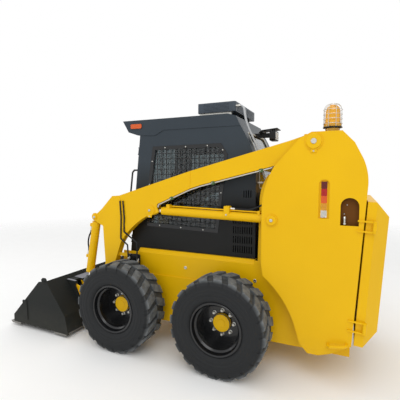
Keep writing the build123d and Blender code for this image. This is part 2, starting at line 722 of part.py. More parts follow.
# Lap bar in front of the seat, raised from the cab sides
with BuildPart() as lap_bar:
    with BuildLine() as lap_path:
        FilletPolyline(
            (REAR_AXLE_X + 200, CAB_HALF_WIDTH - CAB_WALL, 1100),
            (REAR_AXLE_X + 200, 352, 1100),
            (REAR_AXLE_X + 650, 352, 1190),
            (REAR_AXLE_X + 650, -352, 1190),
            (REAR_AXLE_X + 200, -352, 1100),
            (REAR_AXLE_X + 200, -CAB_HALF_WIDTH + CAB_WALL, 1100),
            radius=30,
        )
    with BuildSketch(Plane(origin=lap_path.line @ 0, z_dir=lap_path.line % 0)):
        Circle(14)
    sweep()
save(lap_bar.part, "lap_bar")

# Orange marker lamps on the visor's sides, two work lamps on its face and one behind the cab
with BuildPart() as marker_lamps:
    for side in (1, -1):
        with BuildSketch(side_plane(ROOF_HALF_WIDTH + MARKER_DEPTH if side > 0 else -ROOF_HALF_WIDTH)):
            with Locations((1036, 2126)):
                RectangleRounded(126, 44, 12)
        extrude(amount=MARKER_DEPTH)
save(marker_lamps.part, "marker_lamps")

with BuildPart() as work_lamps:
    with BuildSketch(Plane.YZ.offset(REAR_AXLE_X - 280)):
        with Locations((0, 2020)):
            RectangleRounded(150, 90, 16)
    extrude(amount=56)
    with BuildSketch(side_plane(REAR_LAMP_BRACKET / 2)):
        Polygon((-229, 2010), (-89.8, 2010), (-65.8, 2050), (-229, 2050), align=None)
    extrude(amount=REAR_LAMP_BRACKET)
    # Flat visor over the rear lamp, raised on the bracket
    with BuildSketch(side_plane(85)):
        Polygon((-299, 2082), (-299, 2088), (-150, 2074), (-120, 2050), (-140, 2050), (-156, 2068), align=None)
    extrude(amount=170)
    # Front lamps on the slanted face of the visor
    front_lamp_plane = Plane(
        origin=profile_point((1165.5, 2129), 0),
        x_dir=(0, 1, 0),
        z_dir=(ROOF_TOP - 2072, 0, 1131 - 1200),
    )
    with BuildSketch(front_lamp_plane):
        with GridLocations(560, 0, 2, 1):
            RectangleRounded(150, 76, 14)
    extrude(amount=18)
save(work_lamps.part, "work_lamps")

# Grab handles on the cab's front corners
with BuildPart() as grab_bars:
    for side in (1, -1):
        with BuildLine() as grab_path:
            Polyline(
                profile_point((front_x(GRAB_TOP) + GRAB_SET_OFF, GRAB_TOP), side * GRAB_Y),
                profile_point((front_x(GRAB_TOP) + GRAB_REACH - GRAB_BEND, GRAB_TOP), side * GRAB_Y),
                profile_point((front_x(GRAB_TOP) + GRAB_REACH, GRAB_TOP - GRAB_BEND), side * GRAB_Y),
                profile_point((front_x(GRAB_LOW) + GRAB_REACH, GRAB_LOW + GRAB_BEND), side * GRAB_Y),
                profile_point((front_x(GRAB_LOW) + GRAB_REACH - GRAB_BEND, GRAB_LOW), side * GRAB_Y),
                profile_point((front_x(GRAB_LOW) + GRAB_SET_OFF, GRAB_LOW), side * GRAB_Y),
            )
        with BuildSketch(Plane(origin=grab_path.line @ 0, z_dir=grab_path.line % 0)):
            Circle(9)
        sweep(transition=Transition.RIGHT)
save(grab_bars.part, "grab_bars")

# Lift arm: tapered box with its leg, ears for the tilt cylinder and slots for the eyes
with BuildPart() as arm_left:
    with BuildSketch(side_plane(ARM_OUT_Y)):
        with BuildLine():
            heel = Polyline(
                (PIVOT[0], PIVOT[1] + ARM_HEEL_RADIUS),
                (-503, 1911),
                (369, 1676),
                (1152, 1436),
                (1239, 1429),
                (1375, 1290),
                (1440, 1240),
            )
            ear = ThreePointArc(heel @ 1, (1500, 1222), (1476, 1172))
            leg = Polyline(
                ear @ 1,
                (1358, 1120),
                (1332, 747),
                (1360, 640),
                (BUCKET_PIVOT[0] + 52, BUCKET_PIVOT[1] + 26),
            )
            foot = ThreePointArc(
                leg @ 1,
                (BUCKET_PIVOT[0] + 26, BUCKET_PIVOT[1] - 52),
                (BUCKET_PIVOT[0] - 52, BUCKET_PIVOT[1] - 26),
            )
            shin = Polyline(foot @ 1, (1236, 640), (1211, 760), (1140, 961))
            arch = ThreePointArc(shin @ 1, (1000, 1128), (835, 1244))
            hip = Polyline(arch @ 1, (780, 1256), (697, 1293), (719, 1339), (713, 1368))
            low = Polyline(hip @ 1, (370, 1520), (270, 1552), (-389, 1717), (-640, 1828))
            ThreePointArc(low @ 1, (PIVOT[0] - ARM_HEEL_RADIUS, PIVOT[1]), heel @ 0)
        make_face()
    extrude(amount=ARM_THICKNESS)
    # Slots between the cheeks for the lift rod's eye and the tilt cylinder's head
    with BuildSketch(side_plane(ARM_MID_Y + EYE_SLOT)):
        with Locations(LIFT_EYE):
            Circle(LIFT_EYE_RADIUS + 8)
        with Locations((LIFT_EYE[0] - 70, LIFT_EYE[1])):
            Rectangle(140, 2 * (LIFT_EYE_RADIUS + 8))
        with Locations((LIFT_EYE[0] - 50, LIFT_EYE[1] - 80)):
            Rectangle(192, 160)
        with Locations((TILT_TOP[0] + 10, TILT_TOP[1])):
            Rectangle(144, 260)
    extrude(amount=2 * EYE_SLOT, mode=Mode.SUBTRACT)
    for centre, boss_radius in ((LIFT_EYE, LIFT_BOSS_RADIUS), (TILT_TOP, TILT_BOSS_RADIUS)):
        with BuildSketch(side_plane(ARM_OUT_Y + PIN_HEAD)):
            with Locations(centre):
                Circle(boss_radius)
        extrude(amount=PIN_HEAD)
    # Pin that carries the tilt cylinder's head
    with BuildSketch(side_plane(ARM_OUT_Y)):
        with Locations(TILT_TOP):
            Circle(TILT_PIN_RADIUS)
    extrude(amount=ARM_THICKNESS)
    # Bores for the pivot pin and the bucket pin
    with BuildSketch(side_plane(ARM_OUT_Y)):
        with Locations(PIVOT):
            Circle(PIVOT_PIN_RADIUS + BORE_GAP)
        with Locations(BUCKET_PIVOT):
            Circle(BUCKET_PIN_RADIUS + BORE_GAP)
    extrude(amount=ARM_THICKNESS, mode=Mode.SUBTRACT)
save(arm_left.part, "arm_left")

with BuildPart() as arm_right:
    mirror(arm_left.part, about=Plane.XZ)
save(arm_right.part, "arm_right")

# Cross tubes between the arms: low in front of the footwell, high behind the cab
with BuildPart() as arm_cross_tubes:
    for centre, radius in ((CROSS_TUBE, CROSS_TUBE_RADIUS), (REAR_TUBE, REAR_TUBE_RADIUS)):
        with BuildSketch(side_plane(ARM_IN_Y)):
            with Locations(centre):
                Circle(radius)
                Circle(radius - 8, mode=Mode.SUBTRACT)
        extrude(amount=2 * ARM_IN_Y)
save(arm_cross_tubes.part, "arm_cross_tubes")

# Lines on the left arm: a steel pipe under its beam, and two hoses for attachments on its outer face
with BuildPart() as arm_lines:
    hose_y = ARM_OUT_Y + HOSE_RADIUS + BEARING_GAP
    for points, tube_radius, tube_y in (
        (((396.7, 1498.8), (704.3, 1362.5), (710.4, 1338)), ARM_PIPE_RADIUS, ARM_OUT_Y - 14),
        (((1136, 1385), (1124, 1224), (1130, 1010), (1049, 950), (1042, 830)), HOSE_RADIUS, hose_y),
        (((1100, 1385), (1086, 1224), (1090, 1080), (937, 980), (937, 815)), HOSE_RADIUS, hose_y),
    ):
        with BuildLine() as tube_path:
            Polyline(*(profile_point(point, tube_y) for point in points))
        with BuildSketch(Plane(origin=tube_path.line @ 0, z_dir=tube_path.line % 0)):
            Circle(tube_radius)
        sweep(transition=Transition.RIGHT)
save(arm_lines.part, "arm_lines")

# Cylinders: each a bored barrel with its foot eye, and a rod with its eye, left and right
for name, foot, head, barrel_radius, barrel_length, rod_radius, eye_radius, pin_radius, rod_start in (
    (
        "lift", LIFT_BASE, LIFT_EYE, LIFT_BARREL_RADIUS, LIFT_BARREL_LENGTH,
        LIFT_ROD_RADIUS, LIFT_EYE_RADIUS, LIFT_PIN_RADIUS, LIFT_ROD_START,
    ),
    (
        "tilt", TILT_TOP, TILT_EYE, TILT_BARREL_RADIUS, TILT_BARREL_LENGTH,
        TILT_ROD_RADIUS, TILT_EYE_RADIUS, TILT_PIN_RADIUS, TILT_ROD_START,
    ),
):
    total = distance(foot, head)
    with BuildPart() as barrels:
        for side in (1, -1):
            mid_y = side * ARM_MID_Y
            tube_start = at_length(foot, head, eye_radius + 20)
            with BuildSketch(side_plane(mid_y + EYE_HALF_WIDTH)):
                with Locations(foot):
                    Circle(eye_radius)
            extrude(amount=2 * EYE_HALF_WIDTH)
            with BuildSketch(line_plane(foot, head, mid_y)):
                Circle(EYE_HALF_WIDTH)
            extrude(amount=eye_radius + 30)
            with BuildSketch(line_plane(tube_start, head, mid_y)):
                Circle(barrel_radius)
            extrude(amount=barrel_length - eye_radius - 20)
            with BuildSketch(line_plane(at_length(foot, head, eye_radius + 45), head, mid_y)):
                Circle(rod_radius + BORE_GAP)
            extrude(amount=barrel_length, mode=Mode.SUBTRACT)
            with BuildSketch(side_plane(mid_y + EYE_HALF_WIDTH)):
                with Locations(foot):
                    Circle(pin_radius + BORE_GAP)
            extrude(amount=2 * EYE_HALF_WIDTH, mode=Mode.SUBTRACT)
    save(barrels.part, f"{name}_barrels")
    with BuildPart() as rods:
        for side in (1, -1):
            mid_y = side * ARM_MID_Y
            with BuildSketch(line_plane(at_length(foot, head, rod_start), head, mid_y)):
                Circle(rod_radius)
            extrude(amount=total - rod_start)
            with BuildSketch(side_plane(mid_y + EYE_HALF_WIDTH)):
                with Locations(head):
                    Circle(eye_radius)
            extrude(amount=2 * EYE_HALF_WIDTH)
    save(rods.part, f"{name}_rods")

# Bucket: a bent sheet between two side plates
BUCKET_FOLD = (1624.0, 221.0)
BUCKET_HEEL = (1583.0, 40.0)
BUCKET_BACK = (1872.0, 551.0)
BUCKET_LIP = (2362.0, 48.0)
with BuildPart() as bucket_shell:
    with BuildSketch(side_plane(BUCKET_HALF_WIDTH - BUCKET_SIDE)):
        with BuildLine():
            outer = FilletPolyline(BUCKET_BACK, BUCKET_FOLD, BUCKET_HEEL, BUCKET_LIP, radius=30)
            offset(outer, amount=BUCKET_SHEET, side=Side.LEFT)
        make_face()
    extrude(amount=2 * (BUCKET_HALF_WIDTH - BUCKET_SIDE))
    for side_y in (BUCKET_HALF_WIDTH, -BUCKET_HALF_WIDTH + BUCKET_SIDE):
        with BuildSketch(side_plane(side_y)):
            Polygon(
                BUCKET_BACK,
                BUCKET_FOLD,
                BUCKET_HEEL,
                BUCKET_LIP,
                (2364, 125),
                (1981, 528),
                align=None,
            )
        extrude(amount=BUCKET_SIDE)
save(bucket_shell.part, "bucket_shell")

# Bucket hook and gussets that the quick-attach frame carries it by, fused to the back sheet
with BuildPart() as bucket_mount:
    with BuildSketch(side_plane(HOOK_HALF_WIDTH)):
        Polygon(
            (1841, 512),
            (1716, 505),
            (1706, 478),
            (1714, 475),
            (1728.0, 488.9),
            (1742.4, 481.9),
            (1832.5, 500),
            align=None,
        )
    extrude(amount=2 * HOOK_HALF_WIDTH)
    # Its lip is left open where the tilt rods pass
    for side in (1, -1):
        with BuildSketch(side_plane(side * ARM_MID_Y + ROD_WINDOW / 2)):
            with Locations((1728, 492)):
                Rectangle(64, 64)
        extrude(amount=ROD_WINDOW, mode=Mode.SUBTRACT)
    with BuildSketch(side_plane(HOOK_HALF_WIDTH)):
        Polygon(
            (1546, 110),
            (1558, 96),
            (1594.5, 96),
            (1597.5, 110),
            (1567.0, 116.1),
            (1552.6, 123.1),
            align=None,
        )
    extrude(amount=2 * HOOK_HALF_WIDTH)
    for gusset_y in (HOOK_HALF_WIDTH, -HOOK_HALF_WIDTH + BUCKET_SHEET):
        with BuildSketch(side_plane(gusset_y)):
            Polygon(
                (1841, 512),
                (1730, 500),
                (1566, 158),
                (1546, 112),
                (1558, 97),
                (1594.5, 97),
                (1624, 221),
                align=None,
            )
        extrude(amount=BUCKET_SHEET)
save(bucket_mount.part, "bucket_mount")

# Bolted wear parts under the bucket: the cutting edge and the heel plate
with BuildPart() as cutting_edge:
    floor_slope = (BUCKET_LIP[1] - BUCKET_HEEL[1]) / (BUCKET_LIP[0] - BUCKET_HEEL[0])
    for start, depth in (
        (BUCKET_LIP[0] + EDGE_REACH - EDGE_DEPTH, EDGE_DEPTH),
        (BUCKET_HEEL[0] + HEEL_SET_IN, HEEL_DEPTH),
    ):
        low_start = BUCKET_HEEL[1] + floor_slope * (start - BUCKET_HEEL[0])
        low_end = low_start + floor_slope * depth
        with BuildSketch(side_plane(BUCKET_HALF_WIDTH)):
            Polygon(
                (start, low_start),
                (start + depth, low_end),
                (start + depth - EDGE_THICKNESS, low_end - EDGE_THICKNESS),
                (start, low_start - EDGE_THICKNESS),
                align=None,
            )
        extrude(amount=2 * BUCKET_HALF_WIDTH)
save(cutting_edge.part, "cutting_edge")

# Quick-attach frame: a plate with windows for the rod eyes and two pairs of ears
ATTACH_LENGTH = distance(ATTACH_LOW, ATTACH_TOP)
attach_plane = Plane(
    origin=profile_point(ATTACH_LOW, 0),
    x_dir=(0, 1, 0),
    z_dir=(ATTACH_TOP[1] - ATTACH_LOW[1], 0, ATTACH_LOW[0] - ATTACH_TOP[0]),
)
eye_height = (
    (TILT_EYE[0] - ATTACH_LOW[0]) * (ATTACH_TOP[0] - ATTACH_LOW[0])
    + (TILT_EYE[1] - ATTACH_LOW[1]) * (ATTACH_TOP[1] - ATTACH_LOW[1])
) / ATTACH_LENGTH
with BuildPart() as quick_attach:
    with BuildSketch(attach_plane) as attach_plate:
        with Locations((0, ATTACH_LENGTH / 2)):
            Rectangle(2 * ATTACH_HALF_WIDTH, ATTACH_LENGTH)
        with Locations((0, ATTACH_LENGTH / 2)):
            Rectangle(500, ATTACH_LENGTH - 150, mode=Mode.SUBTRACT)
        for side in (1, -1):
            window_low = eye_height - ROD_WINDOW_DROP
            with Locations((side * ARM_MID_Y, (window_low + ATTACH_LENGTH) / 2)):
                Rectangle(ROD_WINDOW, ATTACH_LENGTH - window_low + PLATE, mode=Mode.SUBTRACT)
    extrude(amount=ATTACH_PLATE / 2, both=True)
    for ear_y in (ARM_OUT_Y + EAR_GAP + PLATE, ARM_IN_Y - EAR_GAP):
        for side in (1, -1):
            with BuildSketch(side_plane(ear_y if side > 0 else -ear_y + PLATE)):
                with Locations(BUCKET_PIVOT):
                    Circle(BUCKET_BOSS_RADIUS)
                with Locations(TILT_EYE):
                    Circle(TILT_EYE_RADIUS + 14)
                with Locations(at_length(ATTACH_LOW, ATTACH_TOP, 20)):
                    Circle(4)
                with Locations(at_length(ATTACH_LOW, ATTACH_TOP, ATTACH_LENGTH - 20)):
                    Circle(4)
                make_hull()
            extrude(amount=PLATE)
    for side in (1, -1):
        with BuildSketch(side_plane(side * ARM_MID_Y + ARM_THICKNESS / 2 + EAR_GAP + PLATE)):
            with Locations(BUCKET_PIVOT):
                Circle(BUCKET_PIN_RADIUS)
        extrude(amount=ARM_THICKNESS + 2 * EAR_GAP + 2 * PLATE)
save(quick_attach.part, "quick_attach")

# Cab door: a frame round one pane, flush between the cab sides and hinged on the left
DOOR_MIDDLE = (DOOR_LOW_RUN + DOOR_TOP_RUN) / 2
DOOR_LENGTH = DOOR_TOP_RUN - DOOR_LOW_RUN
with BuildPart() as cab_door:
    with BuildSketch(front_plane(0)):
        with Locations((0, DOOR_MIDDLE)):
            RectangleRounded(2 * DOOR_HALF_WIDTH, DOOR_LENGTH, 40)
            RectangleRounded(
                2 * (DOOR_HALF_WIDTH - DOOR_RAIL),
                DOOR_LENGTH - 2 * DOOR_RAIL,
                30,
                mode=Mode.SUBTRACT,
            )
    extrude(amount=-DOOR_THICKNESS)
    for run in CAB_HINGES:
        with BuildSketch(cab_hinge_plane(run)):
            Circle(CAB_KNUCKLE_RADIUS)
            with Locations((-CAB_HINGE_OUT - 4, DOOR_HALF_WIDTH - CAB_HINGE_Y - 8)):
                Circle(4)
            make_hull()
            Circle(CAB_PIN_RADIUS + BEARING_GAP, mode=Mode.SUBTRACT)
        extrude(amount=CAB_KNUCKLE_LENGTH / 2, both=True)
save(cab_door.part, "cab_door")

with BuildPart() as cab_door_glass:
    with BuildSketch(front_plane(0).offset(-DOOR_THICKNESS / 2 - GLASS / 2)):
        with Locations((0, DOOR_MIDDLE)):
            RectangleRounded(
                2 * (DOOR_HALF_WIDTH - DOOR_RAIL),
                DOOR_LENGTH - 2 * DOOR_RAIL,
                30,
            )
    extrude(amount=GLASS)
save(cab_door_glass.part, "cab_door_glass")

# Engine hood between the towers, hinged at its front edge
with BuildPart() as hood:
    with BuildSketch(side_plane(HOOD_HALF_WIDTH)):
        Polygon(
            (-255, HOOD_EDGE),
            (-255, HOOD_EDGE + 50),
            (-1050, HOOD_EDGE + 15),
            (-1050, HOOD_EDGE - 15),
            align=None,
        )
    extrude(amount=2 * HOOD_HALF_WIDTH)
    for side in (1, -1):
        with BuildSketch(Plane.XZ.offset(-side * HOOD_HALF_WIDTH)):
            with Locations((REAR_AXLE_X + HOOD_HINGE[0], HOOD_HINGE[1])):
                Circle(HOOD_PIN_RADIUS + BEARING_GAP)
        extrude(amount=side * HOOD_PIN_REACH, mode=Mode.SUBTRACT)
save(hood.part, "hood")

# Rear door: a shallow box with a bevelled outer face, open towards the engine
door_run = distance(REAR_DOOR_LOW, REAR_DOOR_TOP)
rear_plane = Plane(
    origin=profile_point(at_length(REAR_DOOR_LOW, REAR_DOOR_TOP, door_run / 2), 0),
    x_dir=(0, -1, 0),
    z_dir=(REAR_DOOR_LOW[1] - REAR_DOOR_TOP[1], 0, REAR_DOOR_TOP[0] - REAR_DOOR_LOW[0]),
)
with BuildPart() as rear_door:
    for sheet, mode in ((0, Mode.ADD), (REAR_DOOR_SHEET, Mode.SUBTRACT)):
        with BuildSketch(rear_plane):
            Rectangle(2 * (REAR_DOOR_HALF_WIDTH - sheet), door_run - 2 * sheet)
        extrude(amount=REAR_DOOR_BASE, mode=mode)
        with BuildSketch(rear_plane.offset(REAR_DOOR_BASE)):
            Rectangle(2 * (REAR_DOOR_HALF_WIDTH - sheet), door_run - 2 * sheet)
        with BuildSketch(rear_plane.offset(REAR_DOOR_BASE + REAR_DOOR_BEVEL - sheet)):
            Rectangle(
                2 * (REAR_DOOR_HALF_WIDTH - REAR_DOOR_INSET - sheet),
                door_run - 2 * REAR_DOOR_INSET - 2 * sheet,
            )
        loft(mode=mode)
    for height in REAR_HINGES:
        with BuildSketch(rear_hinge_plane(height)):
            Circle(HINGE_KNUCKLE_RADIUS)
            with Locations((HINGE_KNUCKLE_RADIUS / 2, (REAR_DOOR_HALF_WIDTH - DOOR_HINGE_Y) / 2 - 2)):
                Rectangle(HINGE_KNUCKLE_RADIUS, DOOR_HINGE_Y - REAR_DOOR_HALF_WIDTH + 2)
            Circle(HINGE_PIN_RADIUS + BEARING_GAP, mode=Mode.SUBTRACT)
        extrude(amount=HINGE_KNUCKLE_LENGTH / 2, both=True)
save(rear_door.part, "rear_door")

# Wheels: a lugged tyre, and a dished rim with its disc, hub, cap and studs
RIM_OUT = TYRE_WIDTH / 2 - RIM_SET_IN
RIM_LIP_RADIUS = RIM_RADIUS - RIM_FLANGE
RIM_WELL_RADIUS = RIM_LIP_RADIUS - RIM_WELL_DROP
HUB_DEPTH = DISC_THICKNESS + 40.0
DISC_OUT = RIM_OUT - DISC_RECESS
for corner, axle_x, side in (
    ("front_left", FRONT_AXLE_X, 1),
    ("front_right", FRONT_AXLE_X, -1),
    ("rear_left", REAR_AXLE_X, 1),
    ("rear_right", REAR_AXLE_X, -1),
):
    wheel_y = side * (TYRE_IN_Y + TYRE_WIDTH / 2)
    wheel_place = Location((axle_x, wheel_y, TYRE_RADIUS), (0, 0, 0 if side > 0 else 180))
    body_radius = TYRE_RADIUS - LUG_HEIGHT
    half = TYRE_WIDTH / 2
    bead_y = RIM_OUT - RIM_FLANGE_THICKNESS - BEARING_GAP
    # Tyre in flat facets: its carcass, and lugs kept inside a bevelled outline
    facet_turn = 180 / TYRE_FACETS
    with BuildPart() as tyre:
        for place_y, radius in (
            (-bead_y, RIM_RADIUS + RIM_FLANGE + 1),
            (8 - half, RIM_RADIUS + 34),
            (4 - half, body_radius - TYRE_SHOULDER),
            (LUG_CHAMFER - half, body_radius),
            (half - LUG_CHAMFER, body_radius),
            (half - 4, body_radius - TYRE_SHOULDER),
            (half, TYRE_RADIUS - SIDEWALL_DROP),
            (half - 8, RIM_RADIUS + 34),
            (bead_y, RIM_RADIUS + RIM_FLANGE + 1),
        ):
            with BuildSketch(Plane.XZ.offset(-place_y)):
                RegularPolygon(radius, TYRE_FACETS, major_radius=False, rotation=facet_turn)
        loft(ruled=True)
        with BuildPart(mode=Mode.PRIVATE) as lugs:
            for row, turn in ((1, 0), (-1, 180 / LUG_COUNT)):
                for index in range(LUG_COUNT):
                    lug_plane = Plane.XY.rotated((0, turn + 360 * index / LUG_COUNT, 0))
                    with BuildSketch(lug_plane.offset(body_radius - LUG_ROOT)):
                        Polygon(
                            (-LUG_WIDTH / 2 - LUG_SLANT, row * half),
                            (LUG_WIDTH / 2 - LUG_SLANT, row * half),
                            (LUG_WIDTH / 2 + LUG_SLANT, row * LUG_END),
                            (-LUG_WIDTH / 2 + LUG_SLANT, row * LUG_END),
                            align=None,
                        )
                    extrude(amount=LUG_ROOT + 2 * LUG_HEIGHT)
            with BuildPart(mode=Mode.PRIVATE) as envelope:
                for place_y, radius in (
                    (2 - half, body_radius - LUG_ROOT / 2),
                    (LUG_CHAMFER - half, TYRE_RADIUS),
                    (half - LUG_CHAMFER, TYRE_RADIUS),
                    (half - 2, body_radius - LUG_ROOT / 2),
                ):
                    with BuildSketch(Plane.XZ.offset(-place_y)):
                        RegularPolygon(radius, TYRE_FACETS, major_radius=False, rotation=facet_turn)
                loft(ruled=True)
            add(envelope.part, mode=Mode.INTERSECT)
        add(lugs.part)
        with BuildSketch(Plane.XZ.offset(-half)):
            Circle(RIM_RADIUS)
        extrude(amount=TYRE_WIDTH, mode=Mode.SUBTRACT)
    save(wheel_place * tyre.part, f"tyre_{corner}")

    with BuildPart() as wheel:
        with BuildSketch(Plane.XY):
            with BuildLine():
                Polyline(
                    (RIM_RADIUS - BEARING_GAP, -RIM_OUT),
                    (RIM_RADIUS - BEARING_GAP, RIM_OUT - RIM_FLANGE_THICKNESS),
                    (RIM_RADIUS + RIM_FLANGE, RIM_OUT - RIM_FLANGE_THICKNESS),
                    (RIM_RADIUS + RIM_FLANGE, RIM_OUT - 3),
                    (RIM_RADIUS + RIM_FLANGE - 5, RIM_OUT),
                    (RIM_RADIUS - 4, RIM_OUT - 4),
                    (RIM_LIP_RADIUS, RIM_OUT - 34),
                    (RIM_WELL_RADIUS, RIM_OUT - 46),
                    (RIM_WELL_RADIUS, DISC_OUT),
                    (HUB_RADIUS, DISC_OUT),
                    (HUB_RADIUS, DISC_OUT + HUB_CAP_HEIGHT),
                    (0, DISC_OUT + HUB_CAP_HEIGHT),
                    (0, DISC_OUT - HUB_DEPTH + SPINDLE_LENGTH + BEARING_GAP),
                    (SPINDLE_RADIUS + BEARING_GAP, DISC_OUT - HUB_DEPTH + SPINDLE_LENGTH + BEARING_GAP),
                    (SPINDLE_RADIUS + BEARING_GAP, DISC_OUT - HUB_DEPTH),
                    (HUB_RADIUS, DISC_OUT - HUB_DEPTH),
                    (HUB_RADIUS, DISC_OUT - DISC_THICKNESS),
                    (RIM_WELL_RADIUS, DISC_OUT - DISC_THICKNESS),
                    (RIM_RADIUS - RIM_WALL, -RIM_OUT),
                    close=True,
                )
            make_face()
        revolve(axis=Axis.Y)
        with BuildSketch(Plane.XZ.offset(-DISC_OUT)):
            with PolarLocations(STUD_CIRCLE_RADIUS, STUD_COUNT):
                RegularPolygon(STUD_RADIUS, 6)
        extrude(amount=-STUD_LENGTH)
    save(wheel_place * wheel.part, f"wheel_{corner}")
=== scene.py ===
"""Finishes and fine pieces of a skid steer loader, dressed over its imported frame."""

import math
from functools import partial

import bmesh
import bpy
from mathutils import Matrix, Vector


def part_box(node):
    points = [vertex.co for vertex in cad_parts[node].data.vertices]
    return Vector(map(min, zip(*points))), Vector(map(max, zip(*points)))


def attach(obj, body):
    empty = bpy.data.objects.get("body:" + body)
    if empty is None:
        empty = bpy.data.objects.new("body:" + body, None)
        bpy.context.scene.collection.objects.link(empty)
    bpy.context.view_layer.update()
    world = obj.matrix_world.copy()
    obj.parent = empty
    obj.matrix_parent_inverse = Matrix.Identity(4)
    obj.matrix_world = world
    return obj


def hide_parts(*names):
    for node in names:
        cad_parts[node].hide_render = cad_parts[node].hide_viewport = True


bl_info = {
    "name": "Skid steer loader",
    "version": (1, 0, 0),
    "blender": (4, 5, 0),
    "location": "View3D > Sidebar > Loader",
    "description": "Adds the finishes and the fine pieces of a skid steer loader",
    "category": "Add Mesh",
}

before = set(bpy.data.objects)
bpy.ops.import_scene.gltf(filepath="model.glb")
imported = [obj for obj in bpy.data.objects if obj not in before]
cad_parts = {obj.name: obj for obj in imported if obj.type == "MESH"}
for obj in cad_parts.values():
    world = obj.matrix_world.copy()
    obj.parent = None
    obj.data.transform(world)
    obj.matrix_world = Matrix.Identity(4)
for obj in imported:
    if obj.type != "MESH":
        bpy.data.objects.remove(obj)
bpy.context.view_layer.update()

MM = 0.001
FORWARD = Vector((1.0, 0.0, 0.0))
LEFT = Vector((0.0, 1.0, 0.0))
UP = Vector((0.0, 0.0, 1.0))
# Name, sign and outward direction of each side
SIDES = (("left", 1, LEFT), ("right", -1, -LEFT))
CORNERS = ("front_left", "front_right", "rear_left", "rear_right")
REAR_AXLE_X = sum(corner.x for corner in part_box("wheel_rear_left")) / 2


# ---------------------------------------------------------------- shader helpers


def linear(hex_colour):
    """Turns an sRGB hex colour into a linear one."""
    channels = [int(hex_colour[i : i + 2], 16) / 255 for i in (1, 3, 5)]
    values = [c / 12.92 if c <= 0.04045 else ((c + 0.055) / 1.055) ** 2.4 for c in channels]
    return (*values, 1.0)


def add_node(holder, kind, settings=None, inputs=None):
    """Adds a node to a material or world, sets its properties, and fills or links its inputs."""
    tree = holder.node_tree
    made = tree.nodes.new(kind)
    for name, value in (settings or {}).items():
        setattr(made, name, value)
    for name, value in (inputs or {}).items():
        if isinstance(value, bpy.types.NodeSocket):
            tree.links.new(value, made.inputs[name])
        else:
            made.inputs[name].default_value = value
    return made


def cleared(holder):
    """A material or world whose only node is its output."""
    holder.use_nodes = True
    nodes = holder.node_tree.nodes
    for old in list(nodes):
        if not old.type.startswith("OUTPUT"):
            nodes.remove(old)
    return holder


def close_with(holder, shader):
    """Links a shader to the output of a material or world."""
    tree = holder.node_tree
    output = next(node for node in tree.nodes if node.type.startswith("OUTPUT"))
    tree.links.new(shader, output.inputs["Surface"])
    return holder


def new_material(name):
    """A cleared material, and the coordinates of the point that it shades."""
    material = cleared(bpy.data.materials.new(name))
    return material, add_node(material, "ShaderNodeTexCoord").outputs


def surfaced(material, inputs):
    """Closes a material with a principled shader."""
    shader = add_node(material, "ShaderNodeBsdfPrincipled", inputs=inputs)
    return close_with(material, shader.outputs["BSDF"])


def worked_out(holder, operation, *values):
    """Result of one step of arithmetic."""
    made = add_node(holder, "ShaderNodeMath", {"operation": operation}, dict(enumerate(values)))
    return made.outputs["Value"]


def length_of(material, vector):
    """How long a vector is."""
    made = add_node(material, "ShaderNodeVectorMath", {"operation": "LENGTH"}, {0: vector})
    return made.outputs["Value"]


def mixed(material, share, first, second):
    """Colour between two others by a share."""
    mix = add_node(material, "ShaderNodeMix", {"data_type": "RGBA"}, {0: share, 6: first, 7: second})
    return mix.outputs[2]


def noise(material, place, size_mm, detail):
    """Cloudy pattern whose patches are a size across."""
    inputs = {"Vector": place, "Scale": 1.0 / (size_mm * MM), "Detail": detail}
    return add_node(material, "ShaderNodeTexNoise", inputs=inputs).outputs["Fac"]


def ranged(holder, value, low, high, start=0.0, end=1.0):
    """A value brought from the range of start to end into that of low to high."""
    inputs = {"Value": value, "From Min": start, "From Max": end, "To Min": low, "To Max": high}
    return add_node(holder, "ShaderNodeMapRange", inputs=inputs).outputs["Result"]


def bumped(material, height, strength):
    """Normal of a surface with grain a millimetre deep at most."""
    inputs = {"Height": height, "Strength": strength, "Distance": MM}
    return add_node(material, "ShaderNodeBump", inputs=inputs).outputs["Normal"]


# ---------------------------------------------------------------- materials


def enamel(
    name, colour, shade, roughness, coat, grain_mm,
    dust=None, dust_top=0.0, specular=0.5, below=None, change=(),
):
    """Paint sprayed on steel: slow drift of colour, orange peel, dust that thins with height.

    A colour may be given that the paint turns to below, as it changes between two heights.
    """
    material, coordinates = new_material(name)
    place = coordinates["Object"]
    height = add_node(material, "ShaderNodeSeparateXYZ", inputs={"Vector": place}).outputs["Z"]
    drift = noise(material, place, size_mm=420, detail=3.0)
    tone = mixed(material, drift, linear(colour), linear(shade))
    if below:
        tone = mixed(material, ranged(material, height, 0.0, 1.0, *change), linear(below), tone)
    if dust:
        low = ranged(material, height, low=0.42, high=0.0, end=dust_top)
        specks = noise(material, place, size_mm=60, detail=6.0)
        tone = mixed(material, worked_out(material, "MULTIPLY", low, specks), tone, linear(dust))
    peel = noise(material, place, grain_mm, detail=2.0)
    return surfaced(
        material,
        {
            "Base Color": tone,
            "Roughness": ranged(material, drift, roughness - 0.05, roughness + 0.08),
            "Coat Weight": coat,
            "Coat Roughness": 0.12,
            "Specular IOR Level": specular,
            "Normal": bumped(material, peel, strength=0.06),
        },
    )


def bare_metal(name, colour, roughness, streak_mm):
    """Metal with fine streaks from rolling or grinding."""
    material, coordinates = new_material(name)
    upright = {"Vector": coordinates["Object"], "Scale": (1.0, 1.0, 0.08)}
    stretched = add_node(material, "ShaderNodeMapping", inputs=upright).outputs["Vector"]
    streaks = noise(material, stretched, streak_mm, detail=4.0)
    return surfaced(
        material,
        {
            "Base Color": linear(colour),
            "Metallic": 1.0,
            "Roughness": ranged(material, streaks, roughness * 0.7, roughness * 1.4),
        },
    )


